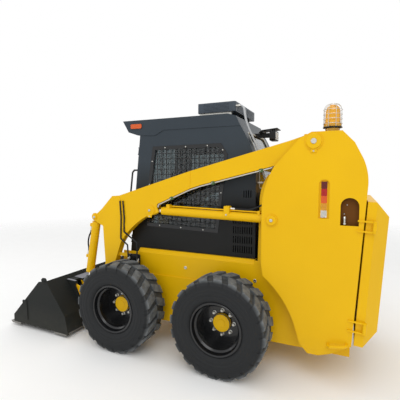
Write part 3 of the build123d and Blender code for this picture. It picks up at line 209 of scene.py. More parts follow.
def rubber(name, colour, dusty, grain_mm, dust_share):
    """Vulcanised rubber, dull, with a little pale dust in patches."""
    material, coordinates = new_material(name)
    place = coordinates["Object"]
    patches = noise(material, place, size_mm=90, detail=7.0)
    share = ranged(material, patches, 0.0, dust_share, start=0.42, end=0.75)
    return surfaced(
        material,
        {
            "Base Color": mixed(material, share, linear(colour), linear(dusty)),
            "Roughness": 0.78,
            "Specular IOR Level": 0.35,
            "Normal": bumped(material, noise(material, place, grain_mm, detail=3.0), strength=0.25),
        },
    )


def tread_rubber(name, colour, worn, tread_start, rings=13):
    """Tyre rubber, ringed and dark on its walls, scuffed pale on the lugs beyond a share of the radius."""
    material, coordinates = new_material(name)
    centred = {"Vector": coordinates["Generated"], "Location": (-1.0, 0.0, -1.0), "Scale": (2.0, 0.0, 2.0)}
    radius = length_of(material, add_node(material, "ShaderNodeMapping", inputs=centred).outputs["Vector"])
    place = coordinates["Object"]
    high = ranged(material, radius, 0.0, 1.0, start=tread_start)
    scuffs = ranged(material, noise(material, place, size_mm=45, detail=6.0), 0.35, 0.9, start=0.3, end=0.7)
    share = worked_out(material, "MULTIPLY", high, scuffs)
    waves = worked_out(material, "SINE", worked_out(material, "MULTIPLY", radius, 2 * math.pi * rings))
    wall = ranged(material, radius, low=2.5, high=0.0, start=tread_start - 0.14, end=tread_start - 0.08)
    grain = noise(material, place, size_mm=1.4, detail=3.0)
    relief = worked_out(material, "ADD", worked_out(material, "MULTIPLY", waves, wall), grain)
    return surfaced(
        material,
        {
            "Base Color": mixed(material, share, linear(colour), linear(worn)),
            "Roughness": 0.74,
            "Specular IOR Level": 0.4,
            "Normal": bumped(material, relief, strength=0.5),
        },
    )


def clear_plastic(name, colour, transmission, roughness, ripple_mm):
    """Moulded polycarbonate or glass that light passes through, with faint waves in its face."""
    material, coordinates = new_material(name)
    ripples = noise(material, coordinates["Object"], ripple_mm, detail=1.0)
    return surfaced(
        material,
        {
            "Base Color": linear(colour),
            "Roughness": roughness,
            "Transmission Weight": transmission,
            "Normal": bumped(material, ripples, strength=0.04),
        },
    )


MATERIALS = {}


def make_materials(colours):
    """Every finish of the machine, made once."""
    MATERIALS.update(
        # Baked yellow enamel on plate: even and warm, soft shine, faint orange peel, a little dust low down
        yellow_enamel=enamel(
            "yellow_enamel_baked", colours.enamel, colours.enamel_shade, 0.42, 0.06, 2.4, "#A08440", 0.4, 0.16
        ),
        # Satin black enamel on rims, bars and brackets: a narrow soft highlight along each edge
        black_enamel=enamel("black_enamel_satin", "#101113", "#151618", 0.24, 0.3, 2.4, specular=0.35),
        # Slate powder coat on the cab: fine texture that keeps the panels dull, blue-grey above, black below
        slate_powder_coat=enamel(
            "slate_powder_coat", colours.slate, "#2B333A", 0.42, 0.04, 1.6,
            specular=0.25, below="#0C0D0C", change=(1.35, 1.78),
        ),
        # The same coat on the cooling unit, bleached a little by the sun
        pale_slate_coat=enamel("pale_slate_powder_coat", "#3D4853", "#363F49", 0.42, 0.04, 1.6, specular=0.4),
        # Flat charcoal paint on the bucket's plate: chalky, with scuffs that break its colour
        charcoal_paint=enamel(
            "charcoal_paint_flat", colours.charcoal, "#232523", 0.62, 0.0, 3.0, "#57544A", 0.3, 0.2
        ),
        # Wear steel scuffed by gravel: bright edge with broken streaks
        wear_steel=bare_metal("wear_steel_scuffed", "#8C8A86", 0.5, 6.0),
        # Hard chrome, ground and polished: mirror bands along the rods
        hard_chrome=bare_metal("hard_chrome_ground", "#E4E4E6", 0.1, 3.0),
        # Zinc plate on nuts, bolts and fittings: small pale points that catch the light
        zinc_plate=bare_metal("zinc_plate_bright", "#C9C8C2", 0.32, 2.0),
        # Tyre rubber, vulcanised: near black walls and dusty grey lug faces
        tyre_rubber=tread_rubber("tyre_rubber_vulcanised", "#17191B", "#777B7D", 0.93),
        # Extruded black rubber of seals and hoses: dull and even
        seal_rubber=rubber("seal_rubber_extruded", "#1B1C1D", "#35342F", 1.2, 0.3),
        # Extruded pale rubber round the rear window, chalked by the sun
        pale_rubber=rubber("pale_rubber_extruded", "#B9BBB6", "#D2D2CC", 1.2, 0.5),
        # Laminated glass with a grey tint: shows the cab's inside darkened
        cab_glass=clear_plastic("cab_glass_tinted", "#8C9698", 0.93, 0.02, 300),
        # Black vinyl on the cushions, grained by its mould: soft sheen on the crowns
        seat_vinyl=rubber("seat_vinyl_grained", "#17181A", "#2A2A2A", 1.8, 0.3),
        # Moulded black plastic: even satin
        black_plastic=enamel("black_abs_moulded", "#141517", "#1A1B1D", 0.5, 0.0, 1.0, specular=0.3),
        # Polycarbonate lenses, moulded: glow where light passes through
        amber_lens=clear_plastic("amber_lens_moulded", "#FFBE28", 0.5, 0.12, 9),
        orange_lens=clear_plastic("orange_lens_moulded", "#F2661A", 0.3, 0.12, 9),
        red_lens=clear_plastic("red_lens_moulded", "#C4120C", 0.3, 0.12, 9),
        dark_red_lens=clear_plastic("dark_red_lens_moulded", "#6E0F0C", 0.3, 0.12, 9),
        clear_lens=clear_plastic("clear_lens_moulded", "#F4F2EC", 0.5, 0.08, 9),
        # Painted shade: flat brown on the sheet inside the towers, seen through the ports, standing for the
        # yellow inner plate in shadow
        brown_primer=enamel("brown_primer_flat", "#6E4310", "#5E380E", 0.7, 0.0, 3.0, specular=0.2),
        # Painted highlight: dull pale grey on the hook's upward face, standing for light from above on the
        # dark plate
        grey_primer=enamel("grey_primer_scuffed", "#8E8F98", "#7B7C84", 0.6, 0.0, 3.0, specular=0.3),
        # Green nylon of the pipe clamps, moulded: small dull spots of colour on the beam
        clamp_nylon=enamel("clamp_nylon_moulded", "#47663A", "#3D5A33", 0.55, 0.0, 1.0),
        # Sleeved refrigerant hose: matt silver cloth over foil
        silver_sleeve=enamel("silver_sleeve_woven", "#B4B6B8", "#9DA0A3", 0.5, 0.0, 2.0),
        # Painted cast iron, pitted by the sand of its mould: dull and dark between the towers
        engine_paint=enamel("engine_paint_cast", "#26292A", "#303334", 0.6, 0.0, 5.0),
    )


# Which finish each node of the frame takes
NODE_FINISHES = {
    "yellow_enamel": (
        "chassis_frame", "tower_left", "tower_right", "arm_left", "arm_right", "arm_cross_tubes",
        "lift_barrels", "tilt_barrels", "quick_attach", "hood", "rear_door", "tail_lamps",
    ),
    "black_enamel": (
        "cab_floor", "axle_housings", "window_guards", "lap_bar", "grab_bars",
        *(f"wheel_{corner}" for corner in CORNERS),
    ),
    "slate_powder_coat": ("cab_roof", "cab_side_left", "cab_side_right", "cab_rear_wall", "cab_door"),
    "charcoal_paint": ("bucket_shell", "bucket_mount"),
    "wear_steel": ("cutting_edge",),
    "hard_chrome": ("lift_rods", "tilt_rods"),
    "cab_glass": ("cab_windows", "cab_door_glass"),
    "seat_vinyl": ("seat",),
    "seal_rubber": ("arm_lines",),
    "black_plastic": ("controls", "work_lamps"),
    "pale_slate_coat": ("roof_unit",),
    "amber_lens": ("beacon",),
    "orange_lens": ("marker_lamps",),
    "engine_paint": ("engine_block",),
    "tyre_rubber": tuple(f"tyre_{corner}" for corner in CORNERS),
}


# ---------------------------------------------------------------- places and shapes


def at(x, z, y=0.0):
    """Point in metres from millimetres ahead of the rear axle, above the ground and to the left."""
    return Vector((REAR_AXLE_X + x * MM, y * MM, z * MM))


def across_of(slope):
    """The direction a quarter turn from one in the machine's side view."""
    return Vector((-slope.y, slope.x))


def in_space(slope):
    """A direction in the machine's side view as one in space."""
    return Vector((slope.x, 0.0, slope.y))


def frame_of(normal, up=UP):
    """Two directions across a normal: one to the right of up, one up."""
    normal = normal.normalized()
    across = up.cross(normal)
    # A normal that runs along up takes left in its place
    if across.length < 0.05:
        across = LEFT.cross(normal)
    across.normalize()
    return across, normal.cross(across).normalized()


def turns(count, start=0.0):
    """Angles of equal steps round a circle."""
    return [start + 2 * math.pi * step / count for step in range(count)]


def edges(points):
    """Each point of a closed outline with the next."""
    return zip(points, points[1:] + points[:1])


def circle(middle, across, up, radius, sides):
    """Points of a circle whose radius is in millimetres."""
    return [middle + (across * math.cos(t) + up * math.sin(t)) * radius * MM for t in turns(sides)]


def curved(start, corner, end, steps=6):
    """Points of a curve that leaves its start toward a corner and comes to its end from it."""
    shares = [step / steps for step in range(steps + 1)]
    return [start * (1 - t) ** 2 + corner * 2 * t * (1 - t) + end * t**2 for t in shares]


def loft(mesh, rings, index=0, closed=False):
    """Joins rings of points with faces and closes both ends, or runs round from the last to the first."""
    rows = [[mesh.verts.new(point) for point in ring] for ring in rings]
    faces = []
    for low, high in edges(rows) if closed else zip(rows, rows[1:]):
        for (a, b), (d, c) in zip(edges(low), edges(high)):
            faces.append(mesh.faces.new((a, b, c, d)))
    if not closed:
        faces.append(mesh.faces.new(tuple(reversed(rows[0]))))
        faces.append(mesh.faces.new(tuple(rows[-1])))
    for face in faces:
        face.material_index = index


def turned(mesh, place, axis, profile, index=0, sides=32):
    """A turned or hexagonal body: profile gives radius and height along the axis, in millimetres."""
    across, up = frame_of(axis)
    rise = axis.normalized() * MM
    # A tip keeps this radius, so that no faces fall together
    tip = 0.05
    rings = [circle(place + rise * z, across, up, max(radius, tip), sides) for radius, z in profile]
    loft(mesh, rings, index)


def tube(mesh, points, radius, index=0, sides=12, closed=False, bead=0.0):
    """A round bar of a radius in millimetres along points; bead swells it in ripples like a weld."""
    points = [Vector(point) for point in points]
    last = len(points) - 1
    rings = []
    across = None
    for i, point in enumerate(points):
        before = points[i - 1] if closed or i else point
        after = points[(i + 1) % len(points)] if closed or i < last else point
        along = (after - before).normalized()
        if across is None:
            across, _ = frame_of(along)
        across = (across - along * across.dot(along)).normalized()
        swell = 1.0 + bead * (0.5 if i % 2 else -0.5)
        rings.append(circle(point, across, along.cross(across), radius * swell, sides))
    loft(mesh, rings, index, closed)


def rounded(width, height, corner, steps=5):
    """Points of a rounded rectangle about its middle, in millimetres."""
    points = []
    for quarter, (side_x, side_y) in enumerate(((1, 1), (-1, 1), (-1, -1), (1, -1))):
        x, y = side_x * (width / 2 - corner), side_y * (height / 2 - corner)
        for step in range(steps + 1):
            angle = math.radians(90 * (quarter + step / steps))
            points.append((x + corner * math.cos(angle), y + corner * math.sin(angle)))
    return points


def slab(mesh, place, normal, outline, thickness, bevel=1.0, index=0, up=UP):
    """A plate with a bevelled front edge, its back at a place and its outline in millimetres."""
    across, rise = frame_of(normal, up)
    normal = normal.normalized()
    corners = [Vector(point) for point in outline]
    middle = sum(corners, Vector((0.0, 0.0))) / len(corners)
    rings = []
    for height, inset in ((0.0, 0.0), (thickness - bevel, 0.0), (thickness, bevel)):
        ring = []
        for corner in corners:
            reach = (corner - middle).length
            x, y = middle + (corner - middle) * (1.0 - inset / reach if reach > inset else 1.0)
            ring.append(place + (across * x + rise * y + normal * height) * MM)
        rings.append(ring)
    loft(mesh, rings, index)


def bolt(mesh, place, normal, across_flats, index=0):
    """A hexagon head on its washer."""
    radius = across_flats / math.sqrt(3)
    washer = across_flats * 0.62
    foot, head = 2.0, across_flats * 0.42
    turned(mesh, place, normal, ((washer, 0.0), (washer, 1.6), (washer * 0.97, foot)), index, 24)
    profile = ((radius, foot), (radius, foot + head * 0.85), (radius * 0.86, foot + head))
    turned(mesh, place, normal, profile, index, 6)


def ribs(mesh, middle, out, count, pitch, half, radius, index):
    """Upright ribs side by side on a lens, each reaching half its height both ways."""
    across, rise = frame_of(out)
    reach = rise * half * MM
    for rib in range(count):
        spot = middle + across * (rib - count // 2) * pitch * MM
        tube(mesh, (spot - reach, spot + reach), radius, index, 8)


def grille(mesh, middle, normal, up, rows, pitch, slat, thickness, rim, rim_radius):
    """Slats one above another about a middle, with a round rim about them."""
    across, rise = frame_of(normal, up)
    for row in range(rows):
        place = middle + rise * (row - (rows - 1) / 2) * pitch * MM
        slab(mesh, place, normal, rounded(*slat), thickness, 2.0, up=up)
    ring = [middle + (rise * v - across * u + normal * 2) * MM for u, v in rounded(*rim)]
    tube(mesh, ring, rim_radius, closed=True)


def bent(points, radius):
    """The points of a bent bar, in metres: each corner rounded by a radius in millimetres."""
    points = [Vector(point) for point in points]
    path = [points[0]]
    for before, corner, after in zip(points, points[1:], points[2:]):
        # No bend reaches past the middle of a straight
        reach = min(radius * MM, (corner - before).length * 0.49, (after - corner).length * 0.49)
        start = corner + (before - corner).normalized() * reach
        end = corner + (after - corner).normalized() * reach
        path += curved(start, corner, end)
    return path + points[-1:]


def placed(name, data, body):
    """An object that rides a body and takes its slot's finish."""
    made = bpy.data.objects.new(name, data)
    bpy.context.scene.collection.objects.link(made)
    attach(made, body)
    return made


def piece(name, mesh, finishes, body, sharp=35.0):
    """Turns gathered faces into an object; edges sharper than an angle in degrees stay sharp."""
    bmesh.ops.recalc_face_normals(mesh, faces=mesh.faces)
    data = bpy.data.meshes.new(name)
    mesh.to_mesh(data)
    mesh.free()
    data.shade_smooth()
    data.set_sharp_from_angle(angle=math.radians(sharp))
    for finish in finishes:
        data.materials.append(MATERIALS[finish])
    return placed(name, data, body)


def spline_length(points):
    """Length in metres of the clamped quadratic spline that a free hose follows."""
    inner = points[1:-1]
    joints = [points[0], *((a + b) / 2 for a, b in zip(inner, inner[1:])), points[-1]]
    path = []
    for start, corner, end in zip(joints, inner, joints[1:]):
        path += curved(start, corner, end, 80)
    return sum((b - a).length for a, b in zip(path, path[1:]))


def hose(name, points, diameter, finish, body):
    """A free hose of a diameter in millimetres through points, both ends in their fittings."""
    curve = bpy.data.curves.new(name, "CURVE")
    curve.dimensions = "3D"
    curve.bevel_depth = diameter / 2 * MM
    curve.bevel_resolution = 4
    curve.use_fill_caps = True
    curve.resolution_u = 16
    spline = curve.splines.new("NURBS")
    spline.points.add(len(points) - 1)
    for knot, point in zip(spline.points, points):
        knot.co = (*point, 1.0)
    spline.order_u = 3
    spline.use_endpoint_u = True
    curve.materials.append(MATERIALS[finish])
    made = placed(name, curve, body)
    spline_length(points)


def fitting(mesh, place, direction, diameter, index=0):
    """A crimped hose end with its hexagon nut, in profiles whose radii are shares of the diameter."""
    nut = ((0.62, 0), (0.62, 16), (0.55, 18))
    ferrule = ((0.4, 16), (0.6, 19), (0.6, 40), (0.54, 42))
    for profile, sides in ((nut, 6), (ferrule, 24)):
        profile = [(share * diameter, height) for share, height in profile]
        turned(mesh, place, direction, profile, index, sides)


# ---------------------------------------------------------------- properties


def number(name, description, default, subtype="NONE"):
    """A number that can be set in the panel."""
    return bpy.props.FloatProperty(name=name, description=description, default=default, subtype=subtype)


def hex_colour(name, description, default):
    """A colour that can be set in the panel."""
    return bpy.props.StringProperty(name=name, description=description, default=default)


class LoaderCamera(bpy.types.PropertyGroup):
    """Where the camera stands and how it looks at the machine."""

    place: bpy.props.FloatVectorProperty(
        name="Place", description="Camera position", subtype="TRANSLATION", default=(-1.5695, 3.319, 1.617)
    )
    heading: number("Heading", "Turn of the view from the machine's front", math.radians(65.66), "ANGLE")
    pitch: number("Pitch", "Tilt of the view above level", math.radians(-3.75), "ANGLE")
    roll: number("Roll", "Roll of the view", math.radians(0.28), "ANGLE")
    lens: number("Lens", "Focal length for a 36 mm sensor", 30.63, "DISTANCE_CAMERA")


class LoaderColours(bpy.types.PropertyGroup):
    """Paint colours, as sRGB hex."""

    enamel: hex_colour("Enamel", "Main paint", "#EDBC06")
    enamel_shade: hex_colour("Enamel drift", "What the main paint drifts to", "#E2B006")
    slate: hex_colour("Slate", "Cab panels", "#343D45")
    charcoal: hex_colour("Charcoal", "Bucket", "#1C1E1D")


class LoaderSizes(bpy.types.PropertyGroup):
    """Sizes of the fine pieces, in millimetres."""

    wheel_nut: number("Wheel nut", "Across its flats", 24.0)
    cover_bolt: number("Cover bolt", "Across its flats", 13.0)
    cage_wire: number("Cage wire", "Radius of the beacon's cage wire", 1.8)
    seal: number("Seal", "Radius of the window seals", 7.0)
    weld: number("Weld", "Radius of the weld beads", 4.0)
    suction_hose: number("Suction hose", "Diameter", 16.0)
    pressure_hose: number("Pressure hose", "Diameter", 12.0)
    cylinder_hose: number("Cylinder hose", "Diameter", 16.0)


# ---------------------------------------------------------------- operators
# Their sizes are in millimetres. A place is a pair of x ahead of the rear axle and z above the ground,
# a profile of a turned body has pairs of radius and height, and a plate has width, height and corner.


class LOADER_OT_frame_finishes(bpy.types.Operator):
    """Gives every node of the frame its finish"""

    bl_idname = "loader.frame_finishes"
    bl_label = "Frame finishes"

    def execute(self, context):
        make_materials(context.scene.loader_colours)
        finishes = {node: name for name, nodes in NODE_FINISHES.items() for node in nodes}
        for node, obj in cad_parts.items():
            obj.data.materials.clear()
            obj.data.materials.append(MATERIALS[finishes[node]])
        return {"FINISHED"}


class LOADER_OT_wheel_fittings(bpy.types.Operator):
    """Adds each wheel's painted hub cap, its nuts and its valve"""

    bl_idname = "loader.wheel_fittings"
    bl_label = "Wheel fittings"

    disc_set_in = 42.5
    cap = ((77.6, 0.3), (77.6, 24), (75, 29), (71, 30.8), (36, 30.8), (33, 33.5), (12, 34.5), (0, 34.5))
    studs = 8
    stud_circle = 101.6
    stud_end = ((6.5, 20), (6.5, 23), (5.5, 24))
    valve_circle = 172.0
    valve_turn = math.radians(112)
    # Height and drop toward the hub of the stem's foot, elbow and tip, and of the cap
    valve_places = ((0, 0), (20, 0), (55, 12), (50, 10.5))
    valve_cap = ((6, 0), (6, 11), (5, 13))

    def execute(self, context):
        for corner in CORNERS:
            out = LEFT if corner.endswith("left") else -LEFT
            body = f"wheel_{corner}"
            disc = sum(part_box(body), Vector()) / 2 - out * self.disc_set_in * MM
            mesh = bmesh.new()
            turned(mesh, disc, out, self.cap, sides=48)
            piece(f"hub_cap_{corner}", mesh, ["yellow_enamel"], body)
            mesh = bmesh.new()
            for place in circle(disc, FORWARD, UP, self.stud_circle, self.studs):
                self.add_nut(mesh, place, out, context.scene.loader_sizes.wheel_nut)
            piece(f"wheel_nuts_{corner}", mesh, ["zinc_plate"], body)
            mesh = bmesh.new()
            spoke = FORWARD * math.cos(self.valve_turn) + UP * math.sin(self.valve_turn)
            foot, elbow, tip, cap = (
                disc + (spoke * (self.valve_circle - drop) + out * height) * MM
                for height, drop in self.valve_places
            )
            tube(mesh, bent((foot, elbow, tip), 10), 4.0)
            turned(mesh, cap, out, self.valve_cap, sides=16)
            piece(f"valve_{corner}", mesh, ["seal_rubber"], body)
        return {"FINISHED"}

    def add_nut(self, mesh, place, out, across_flats):
        """A conical wheel nut with the end of its stud."""
        radius = across_flats / math.sqrt(3)
        turned(mesh, place, out, ((17, 0.2), (17, 2.5), (radius, 4)), sides=24)
        turned(mesh, place, out, ((radius, 3.5), (radius, 18), (radius * 0.8, 21)), sides=6)
        turned(mesh, place, out, self.stud_end, sides=16)


class LOADER_OT_lamps(bpy.types.Operator):
    """Adds the tail lamps' lenses, the beacon's base and cage, and the work lamps' faces"""

    bl_idname = "loader.lamps"
    bl_label = "Lamps"

    tail_lenses = ("dark_red_lens", "red_lens", "orange_lens", "amber_lens", "clear_lens")
    tail_x = -769.0
    tail_top = 1565.8
    tail_pitch = 54.4
    tail_lens = (44.0, 54.0, 4.0)
    tail_lens_thickness = 2.4
    tail_ribs = 5
    tail_rib_pitch = 7.0
    tail_rib_half = 20.0
    beacon_base = ((48, 0.3), (48, 18), (53, 22), (69, 27), (69, 33), (57, 36), (53.5, 44), (50, 45))
    cage_rings = ((67, 58), (67, 92), (67, 126), (67, 160), (24, 204))
    cage_bar = ((67, 32), (67, 60), (67, 158), (58, 186), (42, 200), (24, 204))
    cage_bars = 8
    visor_face = (1165.5, 2129.0)
    visor_normal = Vector((114.0, 0.0, -69.0)).normalized()
    visor_lamp_y = 280.0
    visor_lamp_depth = 18.2
    visor_lamp = (134.0, 60.0)
    rear_lamp_face = (-280.2, 2020.0)
    rear_lamp = (128.0, 68.0)
    lamp_rim = 6.0
    lamp_ribs = 7
    rib_border = 10.0

    def execute(self, context):
        self.add_tail_lenses()
        self.add_beacon(context.scene.loader_sizes.cage_wire)
        self.add_work_lamp_faces()
        return {"FINISHED"}

    def add_tail_lenses(self):
        face_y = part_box("tail_lamps")[1].y / MM + 0.2
        for name, side, out in SIDES:
            mesh = bmesh.new()
            for index in range(len(self.tail_lenses)):
                place = at(self.tail_x, self.tail_top - index * self.tail_pitch, side * face_y)
                slab(mesh, place, out, rounded(*self.tail_lens), self.tail_lens_thickness, 1.2, index)
                face = place + out * self.tail_lens_thickness * MM
                ribs(mesh, face, out, self.tail_ribs, self.tail_rib_pitch, self.tail_rib_half, 1.1, index)
            piece(f"tail_lenses_{name}", mesh, self.tail_lenses, "root")

    def add_beacon(self, wire):
        low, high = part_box("beacon")
        foot = Vector(((low.x + high.x) / 2, (low.y + high.y) / 2, low.z))
        mesh = bmesh.new()
        turned(mesh, foot, UP, self.beacon_base, sides=48)
        piece("beacon_base", mesh, ["black_plastic"], "root")
        mesh = bmesh.new()
        for radius, height in self.cage_rings:
            ring = circle(foot + UP * height * MM, FORWARD, LEFT, radius, 48)
            tube(mesh, ring, wire, sides=8, closed=True)
        for turn in turns(self.cage_bars, math.pi / self.cage_bars):
            spoke = FORWARD * math.cos(turn) + LEFT * math.sin(turn)
            bar = [foot + (spoke * radius + UP * height) * MM for radius, height in self.cage_bar]
            tube(mesh, bent(bar, 14), wire, sides=8)
        piece("beacon_cage", mesh, ["zinc_plate"], "root")

    def add_work_lamp_faces(self):
        """A reflector, a lens and its ribs on each work lamp."""
        depth = self.visor_normal * self.visor_lamp_depth * MM
        faces = [
            (at(*self.visor_face, side * self.visor_lamp_y) + depth, self.visor_normal, self.visor_lamp)
            for _, side, _ in SIDES
        ]
        faces.append((at(*self.rear_lamp_face), -FORWARD, self.rear_lamp))
        mesh = bmesh.new()
        for place, out, (width, height) in faces:
            lens = rounded(width - 2 * self.lamp_rim, height - 2 * self.lamp_rim, 9)
            slab(mesh, place, out, rounded(width, height, 12), 1.0, 0.4, 0)
            slab(mesh, place + out * MM, out, lens, 3.0, 1.6, 1)
            pitch = (width - 2 * self.rib_border) / self.lamp_ribs
            half = height / 2 - self.rib_border
            ribs(mesh, place + out * 4 * MM, out, self.lamp_ribs, pitch, half, 1.2, 1)
        piece("work_lamp_faces", mesh, ["zinc_plate", "clear_lens"], "root")


class LOADER_OT_cab_fittings(bpy.types.Operator):
    """Adds the guards' bolts, the seals, the door's handle and the wiper"""

    bl_idname = "loader.cab_fittings"
    bl_label = "Cab fittings"

    # Corners of the side window, which the guard's bolts follow
    side_window = ((817, 1886), (149, 1894), (100, 1821), (182, 1146), (885, 1165), (885, 1432))
    guard_face = 435.2
    bolt_set_out = 17.0
    bolt_pitch = 230.0
    plug = ((15, 0), (15, 3), (13, 4.5), (6, 4.5), (5, 3.5), (0, 3.5))
    plug_places = ((455, 768), (-216, 729))
    chassis_face = 488.2
    front_low = Vector((1113.0, 905.0))
    front_top = Vector((998.0, 2021.0))
    pane = (674.0, 1175.0, 30.0)
    pane_middle = 472.5
    # On the door: how far up its front edge, and how far out of it
    handle = ((300, -2), (300, 40), (450, 40), (450, -2))
    handle_y = -364.0
    lock_up = 500.0
    lock = ((16, 0), (16, 5), (14, 7), (5, 7), (5, 5), (0, 5))
    wiper_top = 1086.0
    wiper_boss = ((17, 0), (17, 8), (14, 12), (8, 14), (0, 14))
    wiper_joint = (790.0, -40.0)
    blade_half = 230.0
    yoke_half = 130.0
    # The rear wall from the side: its foot, and the arc on which it leans forward
    wall_low = Vector((-199.0, 905.0))
    wall_arc = (Vector((-194.0, 1746.0)), Vector((-138.0, 1905.0)), Vector((-50.0, 2076.0)))
    rear_pane = (620.0, 510.0, 40.0)
    rear_pane_middle = 1775.0

    def execute(self, context):
        sizes = context.scene.loader_sizes
        self.add_guard_bolts(sizes.cover_bolt * 0.75)
        self.add_side_plugs()
        self.add_door_fittings(sizes.seal)
        self.add_wiper()
        self.add_rear_seal(sizes.seal * 1.15)
        return {"FINISHED"}

    def add_guard_bolts(self, across_flats):
        for name, side, out in SIDES:
            mesh = bmesh.new()
            for start, end in edges([Vector(corner) for corner in self.side_window]):
                off = -across_of((end - start).normalized()) * self.bolt_set_out
                count = max(1, round((end - start).length / self.bolt_pitch))
                for index in range(count):
                    spot = start + (end - start) * (index + 0.5) / count + off
                    bolt(mesh, at(*spot, side * self.guard_face), out, across_flats)
            piece(f"guard_bolts_{name}", mesh, ["zinc_plate"], "root")

    def add_side_plugs(self):
        mesh = bmesh.new()
        for _, side, out in SIDES:
            for x, z in self.plug_places:
                turned(mesh, at(x, z, side * self.chassis_face), out, self.plug)
        piece("chassis_plugs", mesh, ["zinc_plate"], "root")

    def door_point(self, run, y, out):
        """A point before the door, from its run up the front edge, its width and its distance out."""
        up = (self.front_top - self.front_low).normalized()
        return at(*(self.front_low + up * run - across_of(up) * out), y)

    def door_out(self):
        """The direction out of the door."""
        return in_space(-across_of(self.front_top - self.front_low)).normalized()

    def add_door_fittings(self, seal):
        mesh = bmesh.new()
        ring = [self.door_point(self.pane_middle + up, y, -10) for y, up in rounded(*self.pane)]
        tube(mesh, ring, seal, closed=True)
        piece("door_seal", mesh, ["seal_rubber"], "cab_door")
        mesh = bmesh.new()
        grip = [self.door_point(run, self.handle_y, out) for run, out in self.handle]
        tube(mesh, bent(grip, 22), 8.0, sides=16)
        turned(mesh, self.door_point(self.lock_up, self.handle_y, 0.2), self.door_out(), self.lock)
        piece("door_handle", mesh, ["black_plastic"], "cab_door")

    def add_wiper(self):
        """A motor's boss over the pane, the arm, and the blade on its yoke."""
        mesh = bmesh.new()
        run, y = self.wiper_joint
        turned(mesh, self.door_point(self.wiper_top, 0, 0.2), self.door_out(), self.wiper_boss)
        arm = [self.door_point(*place, 11) for place in ((self.wiper_top, 0), (940, -18), (run, y))]
        tube(mesh, arm, 4.5)
        tube(mesh, (self.door_point(run, y, 12), self.door_point(run, y, -4)), 4.0)
        blade = [self.door_point(run + reach, y, -6) for reach in (self.blade_half, 0, -self.blade_half)]
        tube(mesh, blade, 4.5)
        for reach in (self.yoke_half, -self.yoke_half):
            tube(mesh, (self.door_point(run + reach, y, -5), self.door_point(run, y, 3)), 2.5)
        piece("door_wiper", mesh, ["black_enamel"], "cab_door")

    def wall_x(self, z):
        """Where the cab's rear wall stands at a height: straight, then on an arc through three points."""
        a, b, c = self.wall_arc
        if z < a.y:
            return self.wall_low.lerp(a, (z - self.wall_low.y) / (a.y - self.wall_low.y)).x
        turn = 2 * (b - a).cross(c - a)
        to_b, to_c = (b - a).length_squared, (c - a).length_squared
        middle = a + across_of((b - a) * to_c - (c - a) * to_b) / turn
        reach = math.sqrt((a - middle).length_squared - (z - middle.y) ** 2)
        return middle.x - reach if middle.x > a.x else middle.x + reach

    def add_rear_seal(self, seal):
        """A seal round the rear window that follows the wall's curve."""
        longest = 40.0
        ring = []
        for start, end in edges([Vector(point) for point in rounded(*self.rear_pane)]):
            steps = max(1, int((end - start).length / longest))
            for step in range(steps):
                y, up = start.lerp(end, step / steps)
                z = self.rear_pane_middle + up
                ring.append(at(self.wall_x(z) + 3, z, y))
        mesh = bmesh.new()
        tube(mesh, ring, seal, closed=True)
        piece("rear_window_seal", mesh, ["pale_rubber"], "root")


class LOADER_OT_cooling_unit(bpy.types.Operator):
    """Adds the cooling unit's rails, its louvres and the hoses down the cab's rear"""

    bl_idname = "loader.cooling_unit"
    bl_label = "Cooling unit"

    rail = (321.0, 39.6, 2.0)
    rail_place = (241.5, 2206.5)
    rail_inside = 277.0
    rail_thickness = 26.0
    louvre_rows = 6
    louvre_foot = 2240.0
    louvre_pitch = 12.0
    # How far ahead and how far out a louvre sits, and its length
    side_louvre = (221.0, 330.0, 250.0)
    rear_louvre = (32.0, 150.0, 230.0)
    hose_top = (31.5, 2272.0)
    hose_crest = (-42.0, 2270.0)
    hose_foot = (-193.0, 1575.0)
    fitting_reach = 40.0
    # A hose's way down the wall, each point with its share of the way from the top's y to the foot's
    hose_route = (
        (-60, 2180, 0.5), (-92, 2080, 1), (-166, 1930, 1), (-224, 1790, 1), (-236, 1670, 1), (-276, 1575, 1)
    )

    def execute(self, context):
        sizes = context.scene.loader_sizes
        mesh = bmesh.new()
        for _, side, out in SIDES:
            place = at(*self.rail_place, side * self.rail_inside)
            slab(mesh, place, out, rounded(*self.rail), self.rail_thickness)
        piece("cooling_rails", mesh, ["zinc_plate"], "root")
        self.add_louvres()
        mesh = bmesh.new()
        self.add_hose(mesh, "suction_hose", 314.0, 368.0, sizes.suction_hose)
        self.add_hose(mesh, "pressure_hose", 284.0, 344.0, sizes.pressure_hose)
        piece("cooling_hose_ends", mesh, ["zinc_plate"], "root")
        return {"FINISHED"}

    def add_louvres(self):
        mesh = bmesh.new()
        for row in range(self.louvre_rows):
            z = self.louvre_foot + row * self.louvre_pitch
            for _, side, out in SIDES:
                for (x, y, length), normal in ((self.side_louvre, out), (self.rear_louvre, -FORWARD)):
                    slab(mesh, at(x, z, side * y), normal, rounded(length, 6, 2.5), 3, 1.2)
        piece("cooling_louvres", mesh, ["pale_slate_coat"], "root")

    def add_hose(self, mesh, name, top_y, foot_y, diameter):
        top = at(*self.hose_top, top_y)
        foot = at(*self.hose_foot, foot_y)
        for place in (top, foot):
            fitting(mesh, place, -FORWARD, diameter)
        reach = FORWARD * self.fitting_reach * MM
        route = [at(x, z, top_y + (foot_y - top_y) * share) for x, z, share in self.hose_route]
        points = [top - reach, at(*self.hose_crest, top_y + 4), *route, foot - reach]
        hose(name, points, diameter, "silver_sleeve", "root")


